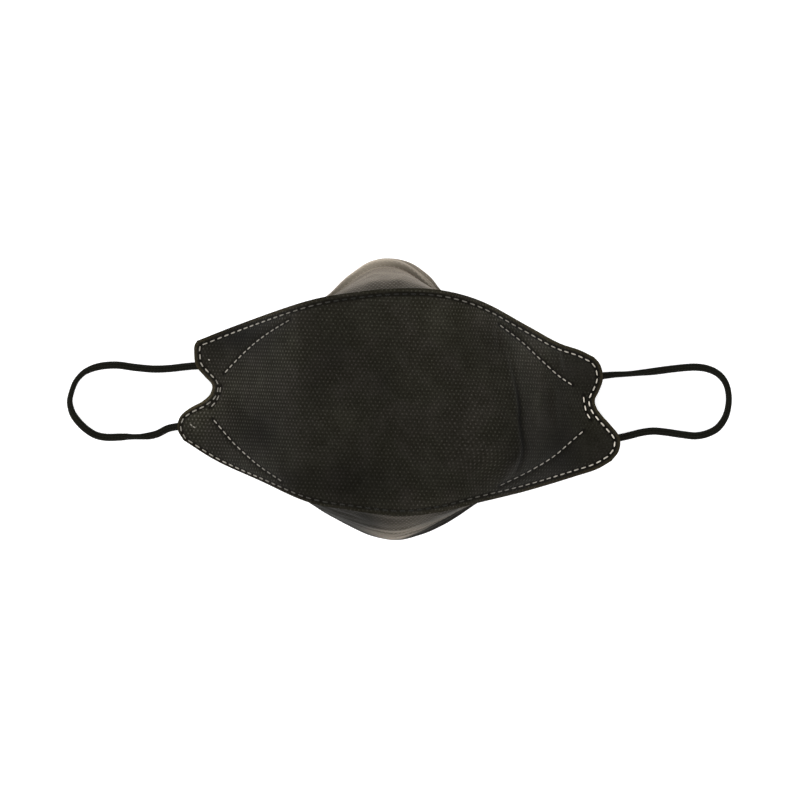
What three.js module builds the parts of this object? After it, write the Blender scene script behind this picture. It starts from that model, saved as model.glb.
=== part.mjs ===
// A three-panel folding respirator mask, opened into its cup and lying face side down.
// Millimetres, +Z up. The origin is on the surface under the mask, at the middle of its outline.
// +X runs along the mask from the left ear loop to the right one, +Y towards the nose.
import * as THREE from 'three';

// ---- driving dimensions -------------------------------------------------------------------
const WALL = 1.2;               // thickness of one fabric panel
const LAYER_GAP = 0.6;          // air between two panels that are welded together
const CUT_INSET = 0.5;          // the inner layer's cut edge stands back by this much
const CROWN_DROP = 2.0;         // how much lower the front panel is at its long edges
const CROWN_REACH = 40;         // half the front panel's height, where that drop is reached
const FLAP_SLOPE = 0.42;        // fall of a corner lobe for each millimetre past its weld
const FLAP_SOFTNESS = 4.0;      // width of the soft bend along that weld
const TURN_DROP = 3.0;          // height of the turn where a side panel leaves the weld
const TURN_REACH = 0.4;         // how far that turn reaches in under the front panel
const FOOT_HEIGHT = 5.5;        // how high over the hem a side panel starts to flare
const HEM_PRESS = 0.5;          // how far the surface flattens the cut edge of a resting hem
const SURFACE_LEVEL = 0;        // what the mask lies on

const FRONT_CELLS = { along: 46, across: 16 };
const SIDE_PANEL_COLUMNS = 48;
const LOBE_STEPS = 4;            // rows of a side panel along the lobe, up to the weld
const WALL_ROWS = [0.4, 0.8, 1.3, 2, 2.6, 3.2, 3.7, 4, 4.5, 5];   // rows past it, by wall point

const WIRE = { width: 3.6, thickness: 0.6, aboveHem: 6.6, gap: 0.4, from: 0.26, to: 0.79, steps: 26 };
const CORD = { diameter: 2.4, sides: 8, steps: 44 };
const PAD = { length: 8.0, width: 5.0, thickness: 0.9, gap: 0.5 };

// Moves the whole mask so that the middle of its outline is at the origin.
const OUTLINE_CENTRE = { x: 0.43, y: -0.29 };

// ---- front panel: the cut outline in plan ---------------------------------------------------
const TOP_EDGE = [
  { at: 'upper left corner', x: -74.0, y: 18.2 },
  { at: 'left lobe', x: -61.3, y: 23.5 },
  { at: 'left flank', x: -43.6, y: 30.0 },
  { at: 'left bend', x: -29.4, y: 34.6 },
  { at: 'left of the nose', x: -18.8, y: 36.8 },
  { at: 'nose', x: -3.0, y: 39.0 },
  { at: 'right of the nose', x: 12.9, y: 39.1 },
  { at: 'right bend', x: 27.3, y: 35.9 },
  { at: 'right flank', x: 45.1, y: 27.8 },
  { at: 'right lobe', x: 56.5, y: 22.5 },
  { at: 'right shoulder', x: 64.5, y: 20.3 },
  { at: 'upper right corner', x: 70.0, y: 18.0 },
];
const BOTTOM_EDGE = [
  { at: 'lower left corner', x: -77.6, y: -18.0 },
  { at: 'left lobe', x: -65.4, y: -24.8 },
  { at: 'left flank', x: -47.1, y: -31.6 },
  { at: 'left bend', x: -29.3, y: -38.0 },
  { at: 'left of the chin', x: -15.7, y: -39.9 },
  { at: 'chin', x: 2.0, y: -41.3 },
  { at: 'right of the chin', x: 16.1, y: -39.3 },
  { at: 'right bend', x: 30.1, y: -35.3 },
  { at: 'right flank', x: 46.5, y: -31.0 },
  { at: 'right lobe', x: 64.7, y: -25.3 },
  { at: 'shoulder', x: 72.9, y: -22.4 },
  { at: 'lower right corner', x: 78.1, y: -19.2 },
];
const LEFT_END_UPPER = [
  { at: 'notch', x: -67.5, y: 2.2 },
  { at: 'throat', x: -70.6, y: 5.4 },
  { at: 'neck', x: -73.9, y: 9.0 },
  { at: 'side', x: -74.8, y: 12.8 },
  { at: 'shoulder', x: -74.9, y: 16.5 },
  { at: 'upper left corner', x: -74.0, y: 18.2 },
];
const LEFT_END_LOWER = [
  { at: 'notch', x: -67.5, y: 2.2 },
  { at: 'throat', x: -68.1, y: -0.8 },
  { at: 'neck', x: -70.8, y: -3.5 },
  { at: 'side', x: -76.0, y: -6.7 },
  { at: 'tip', x: -79.1, y: -9.7 },
  { at: 'shoulder', x: -79.8, y: -14.0 },
  { at: 'lower left corner', x: -77.6, y: -18.0 },
];
const RIGHT_END_UPPER = [
  { at: 'notch', x: 70.8, y: 2.5 },
  { at: 'throat', x: 72.1, y: 5.4 },
  { at: 'side', x: 73.5, y: 9.6 },
  { at: 'tip', x: 73.3, y: 13.0 },
  { at: 'shoulder', x: 72.0, y: 16.0 },
  { at: 'upper right corner', x: 70.0, y: 18.0 },
];
const RIGHT_END_LOWER = [
  { at: 'notch', x: 70.8, y: 2.5 },
  { at: 'throat', x: 71.4, y: 0.0 },
  { at: 'neck', x: 74.0, y: -3.2 },
  { at: 'side', x: 77.0, y: -6.2 },
  { at: 'tip', x: 80.6, y: -10.6 },
  { at: 'shoulder', x: 80.6, y: -15.4 },
  { at: 'lower right corner', x: 78.1, y: -19.2 },
];

// ---- front panel: its height along the mask, on the middle line ------------------------------
const RIDGE = [
  { at: 'left lobe tip', x: -84, z: 10.4 },
  { at: 'left lobe', x: -75, z: 11.6 },
  { at: 'left notch', x: -68, z: 13.6 },
  { at: 'foot of left flank', x: -62, z: 17.9 },
  { at: 'left flank, low', x: -56, z: 24.2 },
  { at: 'left flank, high', x: -47, z: 36.0 },
  { at: 'left bend, outside', x: -40, z: 44.4 },
  { at: 'left bend, inside', x: -33, z: 49.2 },
  { at: 'plateau, left', x: -22, z: 51.2 },
  { at: 'plateau, middle', x: 0, z: 52.0 },
  { at: 'plateau, right', x: 20, z: 51.2 },
  { at: 'right shoulder', x: 30, z: 48.8 },
  { at: 'right crease', x: 40, z: 43.8 },
  { at: 'right flank, high', x: 46, z: 37.0 },
  { at: 'right flank, low', x: 58, z: 22.6 },
  { at: 'foot of right flank', x: 65, z: 16.0 },
  { at: 'right notch', x: 71, z: 12.8 },
  { at: 'right lobe tip', x: 84, z: 10.6 },
];

// The right crease bows out as it crosses the panel; the left bend leans a little.
const CREASE_BOW = [
  { at: 'bottom edge', y: -40, left: 0.8, right: -8.0 },
  { at: 'lower weld end', y: -29, left: 0.8, right: -4.5 },
  { at: 'below the middle', y: -16, left: 0.5, right: 3.6 },
  { at: 'middle', y: 0, left: 0, right: 1.4 },
  { at: 'above the middle', y: 14, left: -0.5, right: -2.6 },
  { at: 'upper weld end', y: 28, left: -1.0, right: -6.6 },
  { at: 'top edge', y: 40, left: -1.2, right: -8.5 },
];
const BOW_ZONE = { start: 12, full: 36, end: 70 };   // distances from the middle, along X

// Diagonal welds that cut the four corner lobes off from the cup.
const LOBE_WELDS = [
  { lobe: 'upper left', inner: [-39.1, 26.5], outer: [-64.3, 5.4] },
  { lobe: 'lower left', inner: [-39.3, -31.5], outer: [-67.6, -9.3] },
  { lobe: 'upper right', inner: [34.1, 27.7], outer: [63.0, 6.9] },
  { lobe: 'lower right', inner: [36.0, -29.5], outer: [67.4, -8.9] },
];

// Soft folds and dents: a ridge (positive) or a valley (negative) along each line.
const FOLDS = [
  { fold: 'left flank valley', from: [-64, -3], to: [-42, -15], width: 3.4, height: -0.7 },
  { fold: 'left bend ridge', from: [-36, 22], to: [-33, -28], width: 4.0, height: 0.5 },
  { fold: 'right crease ridge', from: [38, 14], to: [44, -20], width: 2.6, height: 0.7 },
  { fold: 'right crease valley', from: [49, 16], to: [50, -12], width: 3.2, height: -0.8 },
  { fold: 'right flank ridge', from: [56, 12], to: [58, -10], width: 3.0, height: 0.6 },
  { fold: 'pucker at the upper weld', from: [33, 26], to: [35, 18], width: 2.4, height: -0.7 },
  { fold: 'upper right lobe fold', from: [58, 20], to: [63, 11], width: 2.8, height: -0.6 },
  { fold: 'lower left lobe curl', from: [-78, -11], to: [-70, -16], width: 5.0, height: 0.6 },
];
const FOLD_TAPER = 0.3;         // share of a fold's length over which each end fades

// ---- nose and chin panels: a row for each section, from the left notch to the right one ------
// cut: share of the way round the cut edge; seam: the weld where the wall turns down, in plan;
// hem: the free edge round the face opening; bulge: how far the wall bellies out over its foot;
// flare: how far the hem stands out from that foot.
const NOSE_SECTIONS = [
  { at: 'left notch', cut: 0.016, seam: [-64.2, 4.4], hem: [-62.4, 5.6, 9.0], bulge: 0, flare: 0 },
  { at: 'left neck', cut: 0.045, seam: [-61.4, 7.8], hem: [-60.0, 9.8, 6.2], bulge: 0.2, flare: 0.2 },
  { at: 'left lobe tip', cut: 0.1, seam: [-55.5, 12.8], hem: [-55.4, 15.4, 3.6], bulge: 0.6, flare: 0.6 },
  { at: 'left lobe', cut: 0.185, seam: [-47.5, 19.4], hem: [-48.4, 22.2, 1.4], bulge: 1.0, flare: 1.0 },
  { at: 'left weld end', cut: 0.275, seam: [-38.6, 26.6], hem: [-38.4, 29.6, 0.3], bulge: 1.4, flare: 1.5 },
  { at: 'left dome foot', cut: 0.365, seam: [-26.5, 32.6], hem: [-25.8, 37.0, 0], bulge: 1.8, flare: 2.2 },
  { at: 'left dome side', cut: 0.42, seam: [-17.5, 34.6], hem: [-17.1, 44.9, 0], bulge: 2.2, flare: 2.6 },
  { at: 'nose, left', cut: 0.47, seam: [-9.5, 35.8], hem: [-10.6, 49.5, 0], bulge: 2.4, flare: 2.8 },
  { at: 'nose', cut: 0.512, seam: [-3.0, 36.5], hem: [-4.2, 50.4, 0], bulge: 2.4, flare: 3.0 },
  { at: 'nose, right', cut: 0.555, seam: [4.0, 36.8], hem: [2.6, 49.0, 0], bulge: 2.2, flare: 3.8 },
  { at: 'right dome side', cut: 0.6, seam: [11.0, 36.4], hem: [8.8, 45.2, 0], bulge: 2.0, flare: 5.0 },
  { at: 'right dome foot', cut: 0.655, seam: [19.5, 34.6], hem: [14.8, 38.9, 0], bulge: 1.6, flare: 4.0 },
  { at: 'right weld end', cut: 0.75, seam: [33.6, 28.4], hem: [31.6, 31.4, 0], bulge: 1.4, flare: 2.0 },
  { at: 'right lobe', cut: 0.835, seam: [44.0, 20.6], hem: [44.4, 23.4, 1.0], bulge: 1.0, flare: 1.0 },
  { at: 'right lobe tip', cut: 0.915, seam: [54.0, 13.4], hem: [54.6, 15.8, 3.6], bulge: 0.6, flare: 0.6 },
  { at: 'right neck', cut: 0.96, seam: [61.4, 8.2], hem: [60.6, 9.8, 6.2], bulge: 0.2, flare: 0.2 },
  { at: 'right notch', cut: 0.986, seam: [66.4, 4.8], hem: [64.6, 5.6, 9.0], bulge: 0, flare: 0 },
];
const CHIN_SECTIONS = [
  { at: 'left notch', cut: 0.012, seam: [-65.2, 0.2], hem: [-62.8, -0.9, 9.0], bulge: 0, flare: 0 },
  { at: 'left neck', cut: 0.045, seam: [-66.6, -6.0], hem: [-63.2, -7.6, 6.6], bulge: 0.2, flare: 0 },
  { at: 'left lobe tip', cut: 0.095, seam: [-63.0, -12.6], hem: [-60.2, -14.2, 4.4], bulge: 0.4, flare: 0.2 },
  { at: 'left lobe', cut: 0.17, seam: [-54.0, -19.8], hem: [-52.8, -22.6, 2.2], bulge: 0.8, flare: 0.4 },
  { at: 'left flank', cut: 0.245, seam: [-45.4, -26.4], hem: [-44.6, -29.4, 0.6], bulge: 1.2, flare: 0.6 },
  { at: 'left weld end', cut: 0.31, seam: [-37.0, -32.4], hem: [-36.0, -34.8, 0], bulge: 1.6, flare: 0.8 },
  { at: 'left dome foot', cut: 0.365, seam: [-28.5, -35.2], hem: [-27.9, -40.4, 0], bulge: 2.0, flare: 0.8 },
  { at: 'left dome side', cut: 0.425, seam: [-18.0, -37.0], hem: [-17.6, -45.7, 0], bulge: 2.4, flare: 0.8 },
  { at: 'chin, left', cut: 0.475, seam: [-8.5, -38.0], hem: [-8.5, -49.5, 0], bulge: 2.8, flare: 0.6 },
  { at: 'chin', cut: 0.525, seam: [0.5, -38.6], hem: [0.0, -50.9, 0], bulge: 3.0, flare: 0.6 },
  { at: 'chin, right', cut: 0.575, seam: [9.5, -37.8], hem: [8.8, -49.0, 0], bulge: 2.8, flare: 1.6 },
  { at: 'right dome side', cut: 0.63, seam: [18.5, -36.0], hem: [17.6, -44.9, 0], bulge: 2.2, flare: 2.8 },
  { at: 'right dome foot', cut: 0.69, seam: [28.0, -32.8], hem: [27.0, -38.4, 0], bulge: 1.8, flare: 2.4 },
  { at: 'right weld end', cut: 0.755, seam: [37.2, -28.8], hem: [36.6, -31.6, 0], bulge: 1.4, flare: 1.2 },
  { at: 'right flank', cut: 0.82, seam: [46.6, -22.6], hem: [46.2, -25.8, 1.0], bulge: 1.0, flare: 0.6 },
  { at: 'right lobe', cut: 0.89, seam: [56.4, -16.2], hem: [55.4, -19.0, 2.8], bulge: 0.6, flare: 0.4 },
  { at: 'right lobe tip', cut: 0.945, seam: [66.2, -9.6], hem: [63.2, -11.4, 5.4], bulge: 0.2, flare: 0.2 },
  { at: 'right neck', cut: 0.975, seam: [68.8, -3.8], hem: [66.0, -5.0, 7.6], bulge: 0, flare: 0 },
  { at: 'right notch', cut: 0.99, seam: [67.8, 0.6], hem: [65.6, -0.4, 9.2], bulge: 0, flare: 0 },
];

// ---- ear loops ---------------------------------------------------------------------------------
// The middle of each flattened, welded end under its lobe, and the heading of the cord there.
const LOOP_ENDS = [
  { name: 'left_upper', at: [-69.6, 10.6], heading: [-0.99, -0.14] },
  { name: 'left_lower', at: [-73.4, -12.6], heading: [-0.99, -0.14] },
  { name: 'right_upper', at: [68.6, 11.4], heading: [0.99, 0.14] },
  { name: 'right_lower', at: [73.6, -12.4], heading: [0.99, 0.10] },
];
// The middle line of each elastic, from the upper end to the lower one, as it lies.
const LEFT_LOOP = [
  [-71.5, 9.3, 3.9], [-75.2, 9.1, 2.4], [-79.0, 8.6, 1.6], [-83.5, 7.9, 1.2], [-89.5, 7.4, 1.2],
  [-96.4, 7.7, 1.2], [-103.6, 8.3, 1.2], [-109.8, 7.5, 1.2], [-114.7, 5.4, 1.2], [-117.7, 2.2, 1.2],
  [-119.2, -1.6, 1.2], [-119.9, -5.5, 1.2], [-118.9, -9.5, 1.2], [-116.4, -13.0, 1.2],
  [-113.2, -15.8, 1.2], [-109.8, -17.6, 1.2], [-106.0, -18.2, 1.2], [-98.9, -17.7, 1.2],
  [-92.2, -17.3, 1.2], [-87.8, -16.3, 1.2], [-83.7, -14.1, 1.5], [-79.8, -13.1, 2.2], [-76.0, -11.9, 3.5],
];
const RIGHT_LOOP = [
  [70.2, 10.5, 4.3], [73.9, 11.5, 2.8], [78.4, 12.1, 1.8], [83.4, 12.6, 1.2], [91.4, 13.7, 1.2],
  [102.6, 15.5, 1.2], [108.1, 16.0, 1.2], [112.4, 15.5, 1.2], [116.1, 13.8, 1.2], [118.7, 10.9, 1.2],
  [120.0, 7.1, 1.2], [120.2, 3.0, 1.2], [119.2, -1.8, 1.2], [116.6, -5.8, 1.2], [112.9, -8.0, 1.2],
  [108.8, -9.0, 1.2], [103.6, -8.7, 1.2], [97.9, -8.1, 1.2], [93.2, -7.9, 1.2], [88.8, -8.6, 1.2],
  [84.4, -9.9, 1.4], [80.4, -10.9, 2.1], [76.2, -11.3, 3.4],
];

// ---- finishes ------------------------------------------------------------------------------------
const FINISH = {
  shell: { color: 0x24231e, roughness: 0.78, metalness: 0 },
  side: { color: 0x2b2a25, roughness: 0.7, metalness: 0 },
  elastic: { color: 0x181a17, roughness: 0.85, metalness: 0 },
  wire: { color: 0x8d8f90, roughness: 0.4, metalness: 1 },
};

// ---- small tools ---------------------------------------------------------------------------------
const clamp01 = (value) => Math.min(1, Math.max(0, value));
const easeIn = (value) => { const t = clamp01(value); return t * t * (3 - 2 * t); };
const planCurve = (rows) => new THREE.CatmullRomCurve3(rows.map((row) => new THREE.Vector3(row.x, row.y, 0)));

// Smooth value of one column of a table at a place between its rows.
function tableValue(rows, place, position, column) {
  const last = rows.length - 1;
  let i = 0;
  while (i < last - 1 && position > rows[i + 1][place]) i += 1;
  const slope = (k) => {
    const a = Math.max(k - 1, 0);
    const b = Math.min(k + 1, last);
    return (rows[b][column] - rows[a][column]) / (rows[b][place] - rows[a][place]);
  };
  const span = rows[i + 1][place] - rows[i][place];
  const t = clamp01((position - rows[i][place]) / span);
  const t2 = t * t;
  const t3 = t2 * t;
  return (2 * t3 - 3 * t2 + 1) * rows[i][column] + (t3 - 2 * t2 + t) * span * slope(i)
    + (3 * t2 - 2 * t3) * rows[i + 1][column] + (t3 - t2) * span * slope(i + 1);
}

// A closed body from its corners and triangles, with every face pointing out.
function closedBody(corners, triangles) {
  let volume = 0;
  for (const [a, b, c] of triangles) {
    volume += corners[a].dot(new THREE.Vector3().crossVectors(corners[b], corners[c])) / 6;
  }
  const geometry = new THREE.BufferGeometry();
  geometry.setAttribute('position', new THREE.Float32BufferAttribute(corners.flatMap((p) => p.toArray()), 3));
  geometry.setIndex(triangles.flatMap(([a, b, c]) => (volume > 0 ? [a, b, c] : [a, c, b])));
  geometry.computeVertexNormals();
  return geometry;
}

// Gives a grid of points a wall, half to each side, and closes it round its rim.
function clothWall(grid, thickness) {
  const rows = grid.length;
  const columns = grid[0].length;
  const at = (i, j) => grid[Math.min(Math.max(i, 0), rows - 1)][Math.min(Math.max(j, 0), columns - 1)];
  const corners = [];
  for (const side of [1, -1]) {
    for (let i = 0; i < rows; i += 1) {
      for (let j = 0; j < columns; j += 1) {
        const down = new THREE.Vector3().subVectors(at(i + 1, j), at(i - 1, j));
        const over = new THREE.Vector3().subVectors(at(i, j + 1), at(i, j - 1));
        const normal = down.cross(over).normalize();
        const corner = at(i, j).clone().addScaledVector(normal, side * thickness / 2);
        corner.z = Math.max(corner.z, SURFACE_LEVEL);
        corners.push(corner);
      }
    }
  }
  const far = rows * columns;
  const index = (i, j) => i * columns + j;
  const triangles = [];
  for (let i = 0; i < rows - 1; i += 1) {
    for (let j = 0; j < columns - 1; j += 1) {
      const [a, b, c, d] = [index(i, j), index(i, j + 1), index(i + 1, j + 1), index(i + 1, j)];
      triangles.push([a, c, b], [a, d, c], [far + a, far + b, far + c], [far + a, far + c, far + d]);
    }
  }
  const rim = [];
  for (let j = 0; j < columns; j += 1) rim.push(index(0, j));
  for (let i = 1; i < rows; i += 1) rim.push(index(i, columns - 1));
  for (let j = columns - 2; j >= 0; j -= 1) rim.push(index(rows - 1, j));
  for (let i = rows - 2; i > 0; i -= 1) rim.push(index(i, 0));
  rim.forEach((a, k) => {
    const b = rim[(k + 1) % rim.length];
    triangles.push([a, b, far + b], [a, far + b, far + a]);
  });
  return closedBody(corners, triangles);
}

function addPiece(group, name, geometry, finish) {
  const piece = new THREE.Mesh(geometry, new THREE.MeshStandardMaterial(finish));
  piece.name = name;
  group.add(piece);
}

// ---- front panel ---------------------------------------------------------------------------------
const edges = {
  top: planCurve(TOP_EDGE),
  bottom: planCurve(BOTTOM_EDGE),
  left: planCurve([...LEFT_END_LOWER].reverse().concat(LEFT_END_UPPER.slice(1))),
  right: planCurve([...RIGHT_END_LOWER].reverse().concat(RIGHT_END_UPPER.slice(1))),
};

// A place on the front panel in plan: along and across both run from 0 to 1.
function frontPlan(along, across) {
  const top = edges.top.getPointAt(along);
  const bottom = edges.bottom.getPointAt(along);
  const left = edges.left.getPointAt(across);
  const right = edges.right.getPointAt(across);
  const [lowerLeft, lowerRight] = [edges.bottom.getPointAt(0), edges.bottom.getPointAt(1)];
  const [upperLeft, upperRight] = [edges.top.getPointAt(0), edges.top.getPointAt(1)];
  return new THREE.Vector3()
    .addScaledVector(bottom, 1 - across).addScaledVector(top, across)
    .addScaledVector(left, 1 - along).addScaledVector(right, along)
    .addScaledVector(lowerLeft, -(1 - along) * (1 - across)).addScaledVector(lowerRight, -along * (1 - across))
    .addScaledVector(upperLeft, -(1 - along) * across).addScaledVector(upperRight, -along * across);
}

function bowedPlace(x, y) {
  const distance = Math.abs(x);
  const rise = easeIn((distance - BOW_ZONE.start) / (BOW_ZONE.full - BOW_ZONE.start));
  const fall = easeIn((BOW_ZONE.end - distance) / (BOW_ZONE.end - BOW_ZONE.full));
  return x - rise * fall * tableValue(CREASE_BOW, 'y', y, x < 0 ? 'left' : 'right');
}

function lobeFall(x, y) {
  let fall = 0;
  for (const { inner, outer } of LOBE_WELDS) {
    const length = Math.hypot(outer[0] - inner[0], outer[1] - inner[1]);
    const across = [(inner[1] - outer[1]) / length, (outer[0] - inner[0]) / length];
    const outward = Math.sign(across[1] * inner[1]);
    const past = outward * ((x - inner[0]) * across[0] + (y - inner[1]) * across[1]);
    if (Math.sign(inner[1]) === Math.sign(y) && Math.sign(inner[0]) === Math.sign(x)) {
      fall += FLAP_SLOPE * (past + Math.hypot(past, FLAP_SOFTNESS)) / 2;
    }
  }
  return fall;
}

function foldHeight(x, y) {
  let height = 0;
  for (const fold of FOLDS) {
    const run = [fold.to[0] - fold.from[0], fold.to[1] - fold.from[1]];
    const length = Math.hypot(run[0], run[1]);
    const along = ((x - fold.from[0]) * run[0] + (y - fold.from[1]) * run[1]) / (length * length);
    const aside = ((x - fold.from[0]) * run[1] - (y - fold.from[1]) * run[0]) / length;
    const taper = easeIn((along + FOLD_TAPER) / (2 * FOLD_TAPER)) * easeIn((1 + FOLD_TAPER - along) / (2 * FOLD_TAPER));
    height += fold.height * taper * Math.exp(-((aside / fold.width) ** 2));
  }
  return height;
}

function frontHeight(x, y) {
  const crown = CROWN_DROP * (y / CROWN_REACH) ** 2;
  return tableValue(RIDGE, 'x', bowedPlace(x, y), 'z') - crown - lobeFall(x, y) + foldHeight(x, y);
}

// A point a given depth under the middle of the front panel's wall.
function underFront(x, y, depth) {
  const step = 0.5;
  const normal = new THREE.Vector3(
    (frontHeight(x - step, y) - frontHeight(x + step, y)) / (2 * step),
    (frontHeight(x, y - step) - frontHeight(x, y + step)) / (2 * step),
    1,
  ).normalize();
  return new THREE.Vector3(x, y, frontHeight(x, y)).addScaledVector(normal, -depth);
}

function frontPanel() {
  const grid = [];
  for (let i = 0; i <= FRONT_CELLS.across; i += 1) {
    const row = [];
    for (let j = 0; j <= FRONT_CELLS.along; j += 1) {
      const plan = frontPlan(j / FRONT_CELLS.along, i / FRONT_CELLS.across);
      row.push(underFront(plan.x, plan.y, 0));
    }
    grid.push(row);
  }
  return clothWall(grid, WALL);
}

// ---- nose and chin panels ------------------------------------------------------------------------
// The cut edge of the front panel from the left notch to the right one, over the nose or the chin.
function cutEdge(leftEnd, longEdge, rightEnd) {
  const path = new THREE.CurvePath();
  path.add(planCurve(leftEnd));
  path.add(planCurve(longEdge));
  path.add(planCurve([...rightEnd].reverse()));
  return path;
}
const NOSE_CUT = cutEdge(LEFT_END_UPPER, TOP_EDGE, RIGHT_END_UPPER);
const CHIN_CUT = cutEdge(LEFT_END_LOWER, BOTTOM_EDGE, RIGHT_END_LOWER);

// The line down one section: along the lobe, round the weld, and down the wall to the hem.
function sectionLine(curves, cutPath, place) {
  const { x: cutShare, y: bulge, z: flare } = curves.cut.getPoint(place);
  const seam = curves.seam.getPoint(place);
  const hem = curves.hem.getPoint(place);
  hem.z -= HEM_PRESS;
  const cut = cutPath.getPoint(clamp01(cutShare));
  const inward = new THREE.Vector3().subVectors(seam, cut).setZ(0).normalize();
  cut.addScaledVector(inward, CUT_INSET);
  const lobe = [];
  for (let i = 0; i <= LOBE_STEPS; i += 1) {
    const plan = new THREE.Vector3().lerpVectors(cut, seam, i / LOBE_STEPS);
    lobe.push(underFront(plan.x, plan.y, WALL + LAYER_GAP));
  }
  const weld = lobe.at(-1);
  const turn = weld.clone().addScaledVector(inward, TURN_REACH);
  turn.z -= Math.min(TURN_DROP, (weld.z - hem.z) / 3);
  const outward = new THREE.Vector3(0, Math.sign(hem.y), 0);
  const foot = hem.clone().addScaledVector(outward, -flare);
  foot.z += Math.min(FOOT_HEIGHT, (weld.z - hem.z) / 4);
  const upper = new THREE.Vector3().lerpVectors(turn, foot, 0.33).addScaledVector(outward, bulge);
  const lower = new THREE.Vector3().lerpVectors(turn, foot, 0.7).addScaledVector(outward, bulge * 0.6);
  return new THREE.CatmullRomCurve3([...lobe, turn, upper, lower, foot, hem]);
}

function sectionCurves(sections) {
  const through = (pick) => new THREE.CatmullRomCurve3(sections.map((row) => new THREE.Vector3(...pick(row))));
  return {
    cut: through((row) => [row.cut, row.bulge, row.flare]),
    seam: through((row) => [...row.seam, 0]),
    hem: through((row) => row.hem),
  };
}

function sidePanel(sections, cutPath) {
  const curves = sectionCurves(sections);
  const lobeRows = Array.from({ length: LOBE_STEPS + 1 }, (_, i) => i);
  const rows = lobeRows.concat(WALL_ROWS.map((row) => LOBE_STEPS + row));
  const grid = rows.map(() => []);
  for (let j = 0; j <= SIDE_PANEL_COLUMNS; j += 1) {
    const line = sectionLine(curves, cutPath, j / SIDE_PANEL_COLUMNS);
    rows.forEach((row, i) => grid[i].push(line.getPoint(row / rows.at(-1))));
  }
  return clothWall(grid, WALL);
}

// A flat strip in the nose panel's hem, just off the outer face of its wall.
function noseWire() {
  const curves = sectionCurves(NOSE_SECTIONS);
  const lines = [];
  for (let j = 0; j <= WIRE.steps; j += 1) {
    const place = WIRE.from + (WIRE.to - WIRE.from) * (j / WIRE.steps);
    const line = sectionLine(curves, NOSE_CUT, place);
    const length = line.getLength();
    lines.push([-1, 1].map((side) => line.getPointAt(1 - (WIRE.aboveHem + side * WIRE.width / 2) / length)));
  }
  const corners = [];
  lines.forEach(([low, high], j) => {
    const before = lines[Math.max(j - 1, 0)][0];
    const after = lines[Math.min(j + 1, lines.length - 1)][0];
    const run = new THREE.Vector3().subVectors(after, before);
    const normal = new THREE.Vector3().subVectors(high, low).cross(run).normalize();
    if (normal.y < 0) normal.negate();
    const near = WALL / 2 + WIRE.gap;
    corners.push(
      low.clone().addScaledVector(normal, near), high.clone().addScaledVector(normal, near),
      high.clone().addScaledVector(normal, near + WIRE.thickness),
      low.clone().addScaledVector(normal, near + WIRE.thickness),
    );
  });
  const triangles = [];
  for (let j = 0; j < lines.length - 1; j += 1) {
    for (let k = 0; k < 4; k += 1) {
      const [a, b] = [4 * j + k, 4 * j + ((k + 1) % 4)];
      triangles.push([a, b, b + 4], [a, b + 4, a + 4]);
    }
  }
  const end = 4 * (lines.length - 1);
  triangles.push([0, 2, 1], [0, 3, 2], [end, end + 1, end + 2], [end, end + 2, end + 3]);
  return closedBody(corners, triangles);
}

// ---- ear loops -----------------------------------------------------------------------------------
function earLoop(points) {
  const route = new THREE.CatmullRomCurve3(points.map((point) => new THREE.Vector3(...point)));
  const section = new THREE.Shape();
  for (let k = 0; k < CORD.sides; k += 1) {
    const angle = (k / CORD.sides) * 2 * Math.PI;
    const [x, y] = [Math.cos(angle) * CORD.diameter / 2, Math.sin(angle) * CORD.diameter / 2];
    if (k === 0) section.moveTo(x, y);
    else section.lineTo(x, y);
  }
  return new THREE.ExtrudeGeometry(section, { steps: CORD.steps, extrudePath: route, bevelEnabled: false });
}

// A flattened cord end: a small plate with round ends that lies along the lobe's inner face.
function loopEnd({ at, heading }) {
  const depth = 1.5 * WALL + LAYER_GAP + PAD.gap + PAD.thickness / 2;
  const centre = underFront(at[0], at[1], depth);
  const ahead = underFront(at[0] + heading[0], at[1] + heading[1], depth).sub(centre).normalize();
  const aside = underFront(at[0] - heading[1], at[1] + heading[0], depth).sub(centre).normalize();
  const normal = new THREE.Vector3().crossVectors(ahead, aside).normalize();
  aside.crossVectors(normal, ahead);
  const straight = PAD.length - PAD.width;
  const outline = new THREE.Shape();
  outline.absarc(straight / 2, 0, PAD.width / 2, -Math.PI / 2, Math.PI / 2, false);
  outline.absarc(-straight / 2, 0, PAD.width / 2, Math.PI / 2, 1.5 * Math.PI, false);
  const plate = new THREE.ExtrudeGeometry(outline, {
    depth: PAD.thickness, steps: 1, curveSegments: 6, bevelEnabled: false,
  });
  plate.translate(0, 0, -PAD.thickness / 2);
  plate.applyMatrix4(new THREE.Matrix4().makeBasis(ahead, aside, normal).setPosition(centre));
  return plate;
}

// ---- the mask --------------------------------------------------------------------------------------
const mask = new THREE.Group();
mask.position.set(-OUTLINE_CENTRE.x, -OUTLINE_CENTRE.y, 0);
addPiece(mask, 'front_panel', frontPanel(), FINISH.shell);
addPiece(mask, 'nose_panel', sidePanel(NOSE_SECTIONS, NOSE_CUT), FINISH.side);
addPiece(mask, 'chin_panel', sidePanel(CHIN_SECTIONS, CHIN_CUT), FINISH.side);
addPiece(mask, 'nose_wire', noseWire(), FINISH.wire);
addPiece(mask, 'ear_loop_left', earLoop(LEFT_LOOP), FINISH.elastic);
addPiece(mask, 'ear_loop_right', earLoop(RIGHT_LOOP), FINISH.elastic);
for (const end of LOOP_ENDS) addPiece(mask, `loop_end_${end.name}`, loopEnd(end), FINISH.elastic);

export default mask;
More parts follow.
